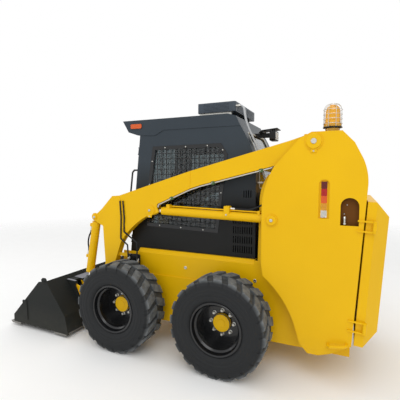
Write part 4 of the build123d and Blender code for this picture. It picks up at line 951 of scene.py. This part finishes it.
class LOADER_OT_engine_covers(bpy.types.Operator):
    """Adds the hood's vents and handle, and the rear door's grille and latch"""

    bl_idname = "loader.engine_covers"
    bl_label = "Engine covers"

    hood_front = Vector((-255.0, 1480.0))
    hood_rear = Vector((-1050.0, 1445.0))
    vent_y = 205.0
    vent_rows = 12
    vent_pitch = 40.0
    vent_middle = 410.0
    vent_slat = (320.0, 22.0, 9.0)
    vent_rim = (360.0, 510.0, 26.0)
    handle_run = 745.0
    # How far across the hood, and how far over it
    handle = ((-70, -2), (-70, 34), (70, 34), (70, -2))
    door_low = Vector((-1005.0, 372.0))
    door_top = Vector((-1068.0, 1450.0))
    door_depth = 152.2
    grille_rows = 9
    grille_pitch = 32.0
    grille_middle = 118.0
    grille_slat = (640.0, 18.0, 7.0)
    grille_rim = (690.0, 310.0, 28.0)
    grille_bolts = (323.4, 140.0)
    latch_up = -120.0
    latch_face = 3.4
    latch_plate = (150.0, 90.0, 12.0)
    latch_paddle = (70.0, 34.0, 10.0)
    latch_key = ((14, 0), (14, 4), (12, 5), (4, 5), (4, 4), (0, 4))
    # The sheet of brown painted shade behind each tower's port, its bolts, and the drain valve
    shade_sheet_place = (-950.0, 1372.0)
    shade_sheet = (170.0, 250.0, 8.0)
    shade_sheet_bolts = ((-930, 1420), (-912, 1352))
    shade_sheet_inside = 566.0
    shade_sheet_thickness = 3.0
    valve_place = (-915.0, 1276.0)
    valve_inside = 588.0
    valve_body = ((13, 0), (13, 12), (8, 14), (8, 34), (11, 36))
    valve_cap = ((11, 36), (11, 50), (6, 58), (0, 58))

    def execute(self, context):
        across_flats = context.scene.loader_sizes.cover_bolt
        self.add_hood_vents()
        self.add_door_grille(across_flats * 0.7)
        self.add_port_shade_sheets(across_flats * 0.45)
        self.add_door_latch()
        return {"FINISHED"}

    def add_hood_vents(self):
        along = (self.hood_rear - self.hood_front).normalized()
        normal = in_space(-across_of(along))
        forward = in_space(-along)
        for name, side, _ in SIDES:
            mesh = bmesh.new()
            middle = at(*(self.hood_front + along * self.vent_middle), side * self.vent_y)
            rows, slat, rim = (self.vent_rows, self.vent_pitch), self.vent_slat, self.vent_rim
            grille(mesh, middle, normal, forward, *rows, slat, 5.0, rim, 5.0)
            piece(f"hood_vent_{name}", mesh, ["black_enamel"], "hood")
        mesh = bmesh.new()
        spot = self.hood_front + along * self.handle_run
        grip = [at(*spot, y) + normal * out * MM for y, out in self.handle]
        tube(mesh, bent(grip, 16), 6.5)
        piece("hood_handle", mesh, ["black_enamel"], "hood")

    def door_point(self, up, y, out=0.0):
        """A point on the rear door's outer face or out of it, from the face's middle."""
        rise = (self.door_top - self.door_low).normalized()
        spot = (self.door_low + self.door_top) / 2 + rise * up + across_of(rise) * (self.door_depth + out)
        return at(*spot, y)

    def door_out(self):
        """The direction out of the rear door."""
        return in_space(across_of(self.door_top - self.door_low)).normalized()

    def add_door_grille(self, across_flats):
        mesh = bmesh.new()
        middle, out = self.door_point(self.grille_middle, 0), self.door_out()
        rows, slat, rim = (self.grille_rows, self.grille_pitch), self.grille_slat, self.grille_rim
        grille(mesh, middle, out, UP, *rows, slat, 4.5, rim, 4.0)
        bolt_y, bolt_up = self.grille_bolts
        for y in (-bolt_y, bolt_y):
            for up in (-bolt_up, bolt_up):
                bolt(mesh, self.door_point(self.grille_middle + up, y), out, across_flats)
        piece("rear_door_grille", mesh, ["black_enamel"], "rear_door")

    def add_port_shade_sheets(self, across_flats):
        """A sheet of flat brown painted shade behind each tower's arched port, standing for the yellow inner
        plate in shadow, with a drain valve at its foot.
        """
        mesh = bmesh.new()
        for _, side, out in SIDES:
            # Brown painted shade: stands for the yellow inner plate in shadow
            shade_sheet = at(*self.shade_sheet_place, side * self.shade_sheet_inside)
            slab(mesh, shade_sheet, out, rounded(*self.shade_sheet), self.shade_sheet_thickness)
            for x, z in self.shade_sheet_bolts:
                head = at(x, z, side * (self.shade_sheet_inside + self.shade_sheet_thickness))
                bolt(mesh, head, out, across_flats, 1)
            valve = at(*self.valve_place, side * self.valve_inside)
            turned(mesh, valve, UP, self.valve_body, 1, 20)
            turned(mesh, valve, UP, self.valve_cap, 1, 6)
        piece("port_shade_sheets", mesh, ["brown_primer", "zinc_plate"], "root")

    def add_door_latch(self):
        """A recessed paddle with its key."""
        mesh = bmesh.new()
        out = self.door_out()
        up, face = self.latch_up, self.latch_face
        slab(mesh, self.door_point(up, -380), out, rounded(*self.latch_plate), face + 0.1, 1.5)
        slab(mesh, self.door_point(up, -400, face), out, rounded(*self.latch_paddle), 5, 2.0)
        turned(mesh, self.door_point(up, -335, face), out, self.latch_key)
        piece("rear_door_latch", mesh, ["black_plastic"], "rear_door")


class LOADER_OT_pins(bpy.types.Operator):
    """Adds the ends of the pins with their keeper plates"""

    bl_idname = "loader.pins"
    bl_label = "Pins"

    # Name, body, place, face, pin radius, collar radius and height, and how far below its keeper sits
    pins = (
        ("pivot", "root", (-686.0, 1896.0), 620.2, 21.0, 56.0, 12.0, 74.0),
        ("lift_base", "root", (-377.0, 1279.0), 620.2, 13.0, 40.0, 14.0, 0.0),
        ("lift_eye", "arms", (792.0, 1305.0), 583.2, 12.0, 30.0, 4.0, 56.0),
        ("tilt_head", "arms", (1464.0, 1205.0), 583.2, 13.0, 25.0, 4.0, 0.0),
        ("bucket", "bucket", (1510.0, 175.0), 592.2, 16.0, 38.0, 5.0, 52.0),
        ("tilt_eye", "bucket", (1612.0, 380.0), 592.2, 13.0, 26.0, 4.0, 0.0),
    )
    keeper_thickness = 9.0
    keeper_set_in = 8.3

    def execute(self, context):
        across_flats = context.scene.loader_sizes.cover_bolt * 0.8
        for name, body, (x, z), face, radius, collar, height, below in self.pins:
            rim = ((collar, 0), (collar, height - 3), (collar - 3, height))
            bore = ((radius + 3, height), (radius + 2, height - 2))
            end = ((radius, 0), (radius, 6), (radius - 2, 8), (5, 8), (4, 5.5), (0, 5.5))
            mesh = bmesh.new()
            for _, side, out in SIDES:
                place = at(x, z, side * face)
                turned(mesh, place, out, rim + bore, sides=48)
                turned(mesh, place + out * (height - 3) * MM, out, end, 1)
                if below:
                    keeper = at(x, z - below, side * (face - self.keeper_set_in))
                    slab(mesh, keeper, out, rounded(46, 24, 5), self.keeper_thickness, 1.5)
                    bolt(mesh, keeper + out * self.keeper_thickness * MM, out, across_flats, 1)
            piece(f"{name}_pin_ends", mesh, ["yellow_enamel", "zinc_plate"], body)
        return {"FINISHED"}


class LOADER_OT_arm_fittings(bpy.types.Operator):
    """Adds the couplers, the pipe clamps, the weld beads and the cylinders' pipes and hoses"""

    bl_idname = "loader.arm_fittings"
    bl_label = "Arm fittings"

    # Outer and inner face of an arm
    arm_faces = (575.0, 497.0)
    arm_middle = 536.0
    # Foot and head of each cylinder
    lift_cylinder = (Vector((-377.0, 1279.0)), Vector((792.0, 1305.0)))
    tilt_cylinder = (Vector((1464.0, 1205.0)), Vector((1612.0, 380.0)))
    couplers = ((1042, 832), (937, 818))
    coupler_nut = ((9, -6), (13, 0), (13, 16), (11, 18))
    coupler_sleeve = ((11, 17), (12.8, 19), (12.8, 36), (11, 38), (11, 44), (12.5, 46))
    coupler_mouth = ((10.5, 46), (10.5, 54), (4, 54), (4, 50), (0, 50))
    coupler_y = 571.0
    bracket = (138.0, 124.0, 10.0)
    bracket_place = (992.0, 798.0)
    bracket_back = 546.0
    bracket_thickness = 9.0
    strut = (190.0, 34.0, 3.0)
    strut_place = (1135.0, 842.0)
    strut_thickness = 9.8
    strut_bolts = ((1040, 842), (1052, 842))
    # Place of each clamp and the slope of the lines there
    clamps = ((-275, 1679, 0.2504), (150, 1572.5, 0.2504), (560, 1426.4, 0.443))
    clamp = (32.0, 30.0, 5.0)
    clamp_back = 545.0
    clamp_depth = 32.0
    beam_pipe = (
        (-365, 1701.4), (266, 1543.2), (366, 1510.6), (396.7, 1498.8), (704.3, 1362.5), (710.4, 1338)
    )
    beam_pipe_radius = 8.6
    welds = ((Vector((370, 1524)), Vector((369, 1672))), (Vector((1150, 1430)), Vector((1062, 1066))))
    weld_ripple = 5.0
    # Beside a cylinder: the run from its foot and the height over its axis
    lift_pipe = ((985, 36), (985, 50), (45, 50), (45, 30))
    lift_pipe_radius = 6.5
    # The blocks on a lift barrel: run, length along it, lowest and highest, and width
    lift_blocks = ((985, 34, 30, 66, 50), (400, 50, -8, 86, 66), (120, 24, 30, 62, 50))
    block_set_in = 26.0
    block_bolt = (400, 12)
    lift_fitting = (376, 64)
    lift_hose = ((335, 64), (290, 64), (200, 62), (120, 98), (60, 136), (0, 134), (-30, 98), (-8, 48))
    port_block = (34.0, 34.0, 5.0)
    port_width = 30.0
    tilt_ports = ((100, 54), (440, 54))
    tilt_fittings = ((117, 57), (423, 57))
    tilt_hose = ((158, 57), (185, 57), (230, 78), (310, 78), (355, 57), (382, 57))

    def execute(self, context):
        sizes = context.scene.loader_sizes
        self.add_couplers()
        self.add_clamps()
        self.add_welds(sizes.weld)
        self.add_beam_pipe()
        self.add_lift_pipes(sizes.cylinder_hose)
        self.add_tilt_hoses(sizes.cylinder_hose)
        return {"FINISHED"}

    def add_couplers(self):
        mesh = bmesh.new()
        for x, z in self.couplers:
            place = at(x, z, self.coupler_y)
            turned(mesh, place, -UP, self.coupler_nut, sides=6)
            turned(mesh, place, -UP, self.coupler_sleeve)
            turned(mesh, place, -UP, self.coupler_mouth)
        piece("couplers", mesh, ["zinc_plate"], "arms")
        mesh = bmesh.new()
        bracket = at(*self.bracket_place, self.bracket_back)
        slab(mesh, bracket, LEFT, rounded(*self.bracket), self.bracket_thickness)
        strut = at(*self.strut_place, self.arm_middle)
        slab(mesh, strut, LEFT, rounded(*self.strut), self.strut_thickness, index=1)
        for place in self.strut_bolts:
            bolt(mesh, at(*place, self.bracket_back + self.bracket_thickness), LEFT, 8.0)
        piece("coupler_bracket", mesh, ["black_enamel", "yellow_enamel"], "arms")

    def add_clamps(self):
        mesh = bmesh.new()
        for x, z, slope in self.clamps:
            along = Vector((1, 0, -slope)).normalized()
            rise = Vector((slope, 0, 1)).normalized()
            place = at(x, z, self.clamp_back)
            slab(mesh, place, LEFT, rounded(*self.clamp), self.clamp_depth, 1.5, 0, rise)
            bolt(mesh, place + (LEFT * (self.clamp_depth + 0.1) + along * 6) * MM, LEFT, 8.0, 1)
        piece("pipe_clamps", mesh, ["clamp_nylon", "zinc_plate"], "arms")

    def add_beam_pipe(self):
        """The bright steel pipe that follows the beam's lower edge forward from the tower."""
        mesh = bmesh.new()
        path = [at(x, z, self.arm_faces[0] - 14) for x, z in self.beam_pipe]
        tube(mesh, bent(path, 12), self.beam_pipe_radius, sides=20)
        piece("beam_pipe", mesh, ["zinc_plate"], "arms")

    def beside(self, cylinder, y, run, height):
        """A point beside a cylinder: a run from its foot and a height over its axis."""
        foot, head = cylinder
        along = (head - foot).normalized()
        return at(*(foot + along * run + across_of(along) * height), y)

    def add_lift_pipes(self, diameter):
        """The pipe along each lift barrel, its clamp blocks and the hose that leaves it."""
        foot, head = self.lift_cylinder
        ahead = in_space(head - foot).normalized()
        rise = in_space(across_of(head - foot)).normalized()
        mesh = bmesh.new()
        for name, side, out in SIDES:
            spot = partial(self.beside, self.lift_cylinder, side * self.arm_middle)
            path = [spot(run, height) for run, height in self.lift_pipe]
            tube(mesh, bent(path, 10), self.lift_pipe_radius, 0, 16)
            for run, length, low, high, width in self.lift_blocks:
                place = spot(run, (low + high) / 2) - out * self.block_set_in * MM
                slab(mesh, place, out, rounded(length, high - low, 6), width, 2.0, 0, rise)
            bolt(mesh, spot(*self.block_bolt) + out * 40 * MM, out, 13.0, 1)
            fitting(mesh, spot(*self.lift_fitting), -ahead, diameter, 1)
            points = [spot(run, height) for run, height in self.lift_hose]
            hose(f"lift_hose_{name}", points, diameter, "seal_rubber", "lift_barrels")
        piece("lift_pipes", mesh, ["yellow_enamel", "zinc_plate"], "lift_barrels")

    def add_welds(self, radius):
        for name, side, _ in SIDES:
            mesh = bmesh.new()
            for face in self.arm_faces:
                for start, end in self.welds:
                    count = int((end - start).length / self.weld_ripple)
                    path = [at(*start.lerp(end, step / count), side * face) for step in range(count + 1)]
                    tube(mesh, path, radius, bead=0.3)
            piece(f"arm_welds_{name}", mesh, ["yellow_enamel"], "arms")

    def add_tilt_hoses(self, diameter):
        """The short hose that joins the two port blocks before each tilt barrel."""
        foot, head = self.tilt_cylinder
        ahead = in_space(head - foot).normalized()
        mesh = bmesh.new()
        for name, side, out in SIDES:
            spot = partial(self.beside, self.tilt_cylinder, side * self.arm_middle)
            for place in self.tilt_ports:
                back = spot(*place) - out * self.port_width / 2 * MM
                slab(mesh, back, out, rounded(*self.port_block), self.port_width, 2.0, 0, ahead)
            for place, direction in zip(self.tilt_fittings, (ahead, -ahead)):
                fitting(mesh, spot(*place), direction, diameter, 1)
            points = [spot(run, height) for run, height in self.tilt_hose]
            hose(f"tilt_hose_{name}", points, diameter, "seal_rubber", "tilt_barrels")
        piece("tilt_hose_ports", mesh, ["yellow_enamel", "zinc_plate"], "tilt_barrels")


class LOADER_OT_bucket_fittings(bpy.types.Operator):
    """Adds the bucket's side bars, lifting tabs, edge bolts and attachment levers"""

    bl_idname = "loader.bucket_fittings"
    bl_label = "Bucket fittings"

    side_bar = (62.0, 214.0, 8.0)
    side_bar_place = (2182.0, 202.0)
    side_bar_lean = Vector((0.06, 0, 1))
    bucket_side = 850.0
    tab = ((-34, -16), (34, -16), (34, 6), (18, 22), (-18, 22), (-34, 6))
    tab_place = (1906.0, 556.0)
    tab_y = 844.0
    tab_thickness = 12.0
    # The hook's leaning face, painted pale grey as a highlight for light from above, and the middle and width
    # of each stretch between the rods' gaps
    hook_place = (1779.0, 508.8)
    hook_lean = Vector((-7.0, 125.0)).normalized()
    hook_highlight_faces = ((0.0, 988.0), (592.5, 29.0), (-592.5, 29.0))
    edge_place = (2318.0, 55.7)
    edge_normal = Vector((-0.01, 0, 1))
    edge_bolts = 9
    edge_pitch = 195.0
    edge_bolt = ((15, 0), (14, 2.5), (6, 3), (5, 1.5), (0, 1.5))
    lever_place = (1652.0, 322.0)
    lever_y = 400.0
    lever_lean = Vector((-0.90, 0, 0.43))
    # How far out of the frame the bar's foot, its knee and its bend stand
    lever_heights = (12.0, 34.0, 30.0)
    lever_rise = Vector((43.0, 0, 90.0))
    lever_end = Vector((18.0, 0, 40.0))
    lever_boss = ((24, 0), (24, 10), (20, 13), (8, 13), (0, 13))

    def execute(self, context):
        mesh = bmesh.new()
        for _, side, out in SIDES:
            bar = at(*self.side_bar_place, side * self.bucket_side)
            slab(mesh, bar, out, rounded(*self.side_bar), 8, 2.0, up=self.side_bar_lean)
            tab = at(*self.tab_place, side * self.tab_y - self.tab_thickness / 2)
            slab(mesh, tab, LEFT, self.tab, self.tab_thickness, 1.5)
        piece("bucket_side_bars", mesh, ["charcoal_paint"], "bucket")
        mesh = bmesh.new()
        # Pale grey painted highlight on the hook's upward face, for light falling from above
        out, ahead = in_space(self.hook_lean), in_space(-across_of(self.hook_lean))
        for y, width in self.hook_highlight_faces:
            slab(mesh, at(*self.hook_place, y), out, rounded(width, 118, 3), 1.5, 0.6, up=ahead)
        piece("hook_highlight_faces", mesh, ["grey_primer"], "bucket")
        mesh = bmesh.new()
        for index in range(self.edge_bolts):
            y = (index - self.edge_bolts // 2) * self.edge_pitch
            turned(mesh, at(*self.edge_place, y), self.edge_normal, self.edge_bolt, sides=24)
        piece("edge_bolts", mesh, ["wear_steel"], "bucket")
        self.add_levers()
        return {"FINISHED"}

    def add_levers(self):
        """The two levers that lock the bucket on, each with its rubber grip."""
        mesh = bmesh.new()
        for _, side, _ in SIDES:
            root = at(*self.lever_place, side * self.lever_y) + self.lever_lean * 6 * MM
            turned(mesh, root, self.lever_lean, self.lever_boss)
            foot, knee, bend = (root + self.lever_lean * height * MM for height in self.lever_heights)
            bend += self.lever_rise * MM
            end = bend + self.lever_end * MM
            tube(mesh, bent((foot, knee, bend, end), 12), 7.0)
            grip = (bend + Vector((2, 0, 4)) * MM, end + Vector((6, 0, 12)) * MM)
            tube(mesh, grip, 10.5, 1, 16)
        piece("attach_levers", mesh, ["black_enamel", "seal_rubber"], "bucket")


class LOADER_OT_seat_cushions(bpy.types.Operator):
    """Replaces the seat's plain solid with sewn cushions on a pedestal"""

    bl_idname = "loader.seat_cushions"
    bl_label = "Seat cushions"

    # Middle in x and z, length along it, width, thickness, lean in degrees, and which face is sat on
    cushions = (
        (345.0, 908.0, 500.0, 440.0, 104.0, 4.0, 1),
        (72.0, 1222.0, 560.0, 430.0, 96.0, 99.5, -1),
    )
    roundness = 5.0
    crown = 0.10
    seam_depth = 7.0
    seam_width = 9.0
    # Shares of the half length and half width where the seams run
    cross_seams = (-0.52, -0.17, 0.17, 0.52)
    edge_seam = 0.66
    columns, rows = 96, 48
    piping_radius = 4.5
    piping_inset = 0.985
    piping_height = 0.62
    bellows = (430.0, 340.0)
    bellows_x = 315.0
    # Height and inset of each fold of the bellows under the seat
    folds = ((767, 0), (776, 6), (786, 0), (796, 6), (806, 0), (816, 6), (826, 0), (846, 10))

    def execute(self, context):
        mesh = bmesh.new()
        for x, z, length, width, thickness, lean, face in self.cushions:
            turn = math.radians(lean)
            along = Vector((math.cos(turn), math.sin(turn)))
            out = in_space(across_of(along)) * face
            self.add_cushion(mesh, at(x, z), in_space(along), out, length, width, thickness)
        cushions = piece("seat_cushions", mesh, ["seat_vinyl", "seal_rubber"], "root", 80.0)
        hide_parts("seat")
        mesh = bmesh.new()
        length, width = self.bellows
        rings = [
            [at(self.bellows_x + x, z, y) for x, y in rounded(length - 2 * inset, width - 2 * inset, 26)]
            for z, inset in self.folds
        ]
        loft(mesh, rings)
        piece("seat_bellows", mesh, ["seal_rubber"], "root", 20.0)
        return {"FINISHED"}

    def cushion_point(self, turn, polar, halves):
        """A point of a stuffed box with a crowned face, sewn across in channels, in millimetres."""
        ray = (math.cos(turn) * math.sin(polar), math.sin(turn) * math.sin(polar), math.cos(polar))
        size = sum(abs(value) ** self.roundness for value in ray) ** (1 / self.roundness)
        u, v, w = (value / size for value in ray)
        depth = w * halves[2] * (1.0 + self.crown * max(0.0, w) * (1 - u * u) * (1 - v * v))
        if w > 0:
            inside = max(0.0, 1 - (abs(v) / self.edge_seam) ** 8)
            sewn = sum(self.near_seam((u - seam) * halves[0]) for seam in self.cross_seams) * inside
            sewn += self.near_seam((abs(v) - self.edge_seam) * halves[1])
            depth -= self.seam_depth * sewn * w
        return u * halves[0], v * halves[1], depth

    def near_seam(self, distance):
        """One at a seam, falling to nothing within its width."""
        return math.exp(-((distance / self.seam_width) ** 2))

    def add_cushion(self, mesh, middle, along, face, length, width, thickness):
        """A cushion and the piping round its edge."""
        halves = (length / 2, width / 2, thickness / 2)
        across = face.cross(along).normalized()
        rings = []
        for row in range(1, self.rows):
            points = [self.cushion_point(t, math.pi * row / self.rows, halves) for t in turns(self.columns)]
            rings.append([middle + (along * x + across * y + face * z) * MM for x, y, z in points])
        loft(mesh, rings)
        outline = rounded(length * self.piping_inset, width * self.piping_inset, 62, 10)
        height = halves[2] * self.piping_height
        path = [middle + (along * u + across * v + face * height) * MM for u, v in outline]
        tube(mesh, path, self.piping_radius, 1, 10, closed=True)


class LOADER_OT_stage(bpy.types.Operator):
    """Adds the floor, the lights and the camera"""

    bl_idname = "loader.stage"
    bl_label = "Stage"

    # In metres: how far the floor goes, where it starts to fade and where it is gone
    floor_reach = 30.0
    floor_fade = (4.5, 11.0)
    shade_strength = 0.75
    # Name, place and size in metres, and power in watts
    lights = (
        ("key_light", (-2.5, 6.0, 6.5), 5.0, 180.0),
        ("top_light", (0.5, 0.5, 8.0), 7.0, 105.0),
        ("front_light", (7.0, 1.5, 4.0), 4.0, 50.0),
    )
    lit_point = Vector((0.0, 0.0, 0.9))

    def execute(self, context):
        self.add_floor(context)
        self.add_lights(context)
        self.add_world(context)
        self.add_camera(context)
        context.scene.view_settings.view_transform = "Standard"
        return {"FINISHED"}

    def add_floor(self, context):
        """A pale painted floor that keeps the shadow and fades out into the white far off."""
        mesh = bpy.data.meshes.new("floor")
        reach = self.floor_reach
        corners = [(x * reach, y * reach, 0) for x, y in ((-1, -1), (1, -1), (1, 1), (-1, 1))]
        mesh.from_pydata(corners, [], [(0, 1, 2, 3)])
        floor = bpy.data.objects.new("floor", mesh)
        context.scene.collection.objects.link(floor)
        material, coordinates = new_material("floor_painted_pale")
        place = coordinates["Object"]
        patches = noise(material, place, size_mm=300, detail=3.0)
        tone = mixed(material, patches, linear("#FDFDFC"), linear("#FAFAF9"))
        surface = {"Base Color": tone, "Roughness": 0.85, "Specular IOR Level": 0.2}
        paint = add_node(material, "ShaderNodeBsdfPrincipled", inputs=surface).outputs["BSDF"]
        clear = add_node(material, "ShaderNodeBsdfTransparent").outputs["BSDF"]
        faded = ranged(material, length_of(material, place), 0.0, 1.0, *self.floor_fade)
        fade = add_node(material, "ShaderNodeMixShader", inputs={0: faded, 1: paint, 2: clear})
        mesh.materials.append(close_with(material, fade.outputs["Shader"]))

    def add_lights(self, context):
        for name, place, size, power in self.lights:
            light = bpy.data.lights.new(name, "AREA")
            light.size = size
            light.energy = power
            lamp = bpy.data.objects.new(name, light)
            lamp.location = place
            lamp.rotation_euler = (self.lit_point - Vector(place)).to_track_quat("-Z", "Y").to_euler()
            context.scene.collection.objects.link(lamp)

    def add_world(self, context):
        """White to the eye, in reflections and through glass, and softer as a light."""
        world = context.scene.world = cleared(bpy.data.worlds.new("studio"))
        rays = add_node(world, "ShaderNodeLightPath").outputs
        seen = rays["Is Camera Ray"]
        for ray in ("Is Glossy Ray", "Is Transmission Ray"):
            seen = worked_out(world, "MAXIMUM", seen, rays[ray])
        white = {"Color": (1.0, 1.0, 1.0, 1.0), "Strength": ranged(world, seen, self.shade_strength, 1.0)}
        sky = add_node(world, "ShaderNodeBackground", inputs=white)
        close_with(world, sky.outputs["Background"])

    def add_camera(self, context):
        view = context.scene.loader_camera
        data = bpy.data.cameras.new("camera")
        data.lens = view.lens
        data.sensor_width = 36.0
        data.clip_end = 200.0
        camera = bpy.data.objects.new("camera", data)
        level = FORWARD * math.cos(view.heading) - LEFT * math.sin(view.heading)
        forward = level * math.cos(view.pitch) + UP * math.sin(view.pitch)
        turn = forward.to_track_quat("-Z", "Y").to_matrix().to_4x4()
        camera.matrix_world = Matrix.Translation(view.place) @ turn @ Matrix.Rotation(view.roll, 4, "Z")
        context.scene.collection.objects.link(camera)
        context.scene.camera = camera


class LOADER_PT_panel(bpy.types.Panel):
    """Lists the loader's pieces and their sizes"""

    bl_label = "Skid steer loader"
    bl_space_type = "VIEW_3D"
    bl_region_type = "UI"
    bl_category = "Loader"

    def draw(self, context):
        layout = self.layout
        for operator in OPERATORS:
            layout.operator(operator.bl_idname)
        for name, group in GROUPS.items():
            for key in group.__annotations__:
                layout.prop(getattr(context.scene, name), key)


GROUPS = {
    "loader_camera": LoaderCamera,
    "loader_colours": LoaderColours,
    "loader_sizes": LoaderSizes,
}
OPERATORS = (
    LOADER_OT_frame_finishes,
    LOADER_OT_wheel_fittings,
    LOADER_OT_lamps,
    LOADER_OT_cab_fittings,
    LOADER_OT_cooling_unit,
    LOADER_OT_engine_covers,
    LOADER_OT_pins,
    LOADER_OT_arm_fittings,
    LOADER_OT_bucket_fittings,
    LOADER_OT_seat_cushions,
    LOADER_OT_stage,
)


def register():
    for name, group in GROUPS.items():
        bpy.utils.register_class(group)
        setattr(bpy.types.Scene, name, bpy.props.PointerProperty(type=group))
    for operator in OPERATORS:
        bpy.utils.register_class(operator)
    bpy.utils.register_class(LOADER_PT_panel)


def unregister():
    bpy.utils.unregister_class(LOADER_PT_panel)
    for operator in reversed(OPERATORS):
        bpy.utils.unregister_class(operator)
    for name, group in reversed(GROUPS.items()):
        delattr(bpy.types.Scene, name)
        bpy.utils.unregister_class(group)


def main():
    register()
    for operator in OPERATORS:
        family, _, call = operator.bl_idname.partition(".")
        getattr(getattr(bpy.ops, family), call)()


if __name__ == "__main__":
    main()
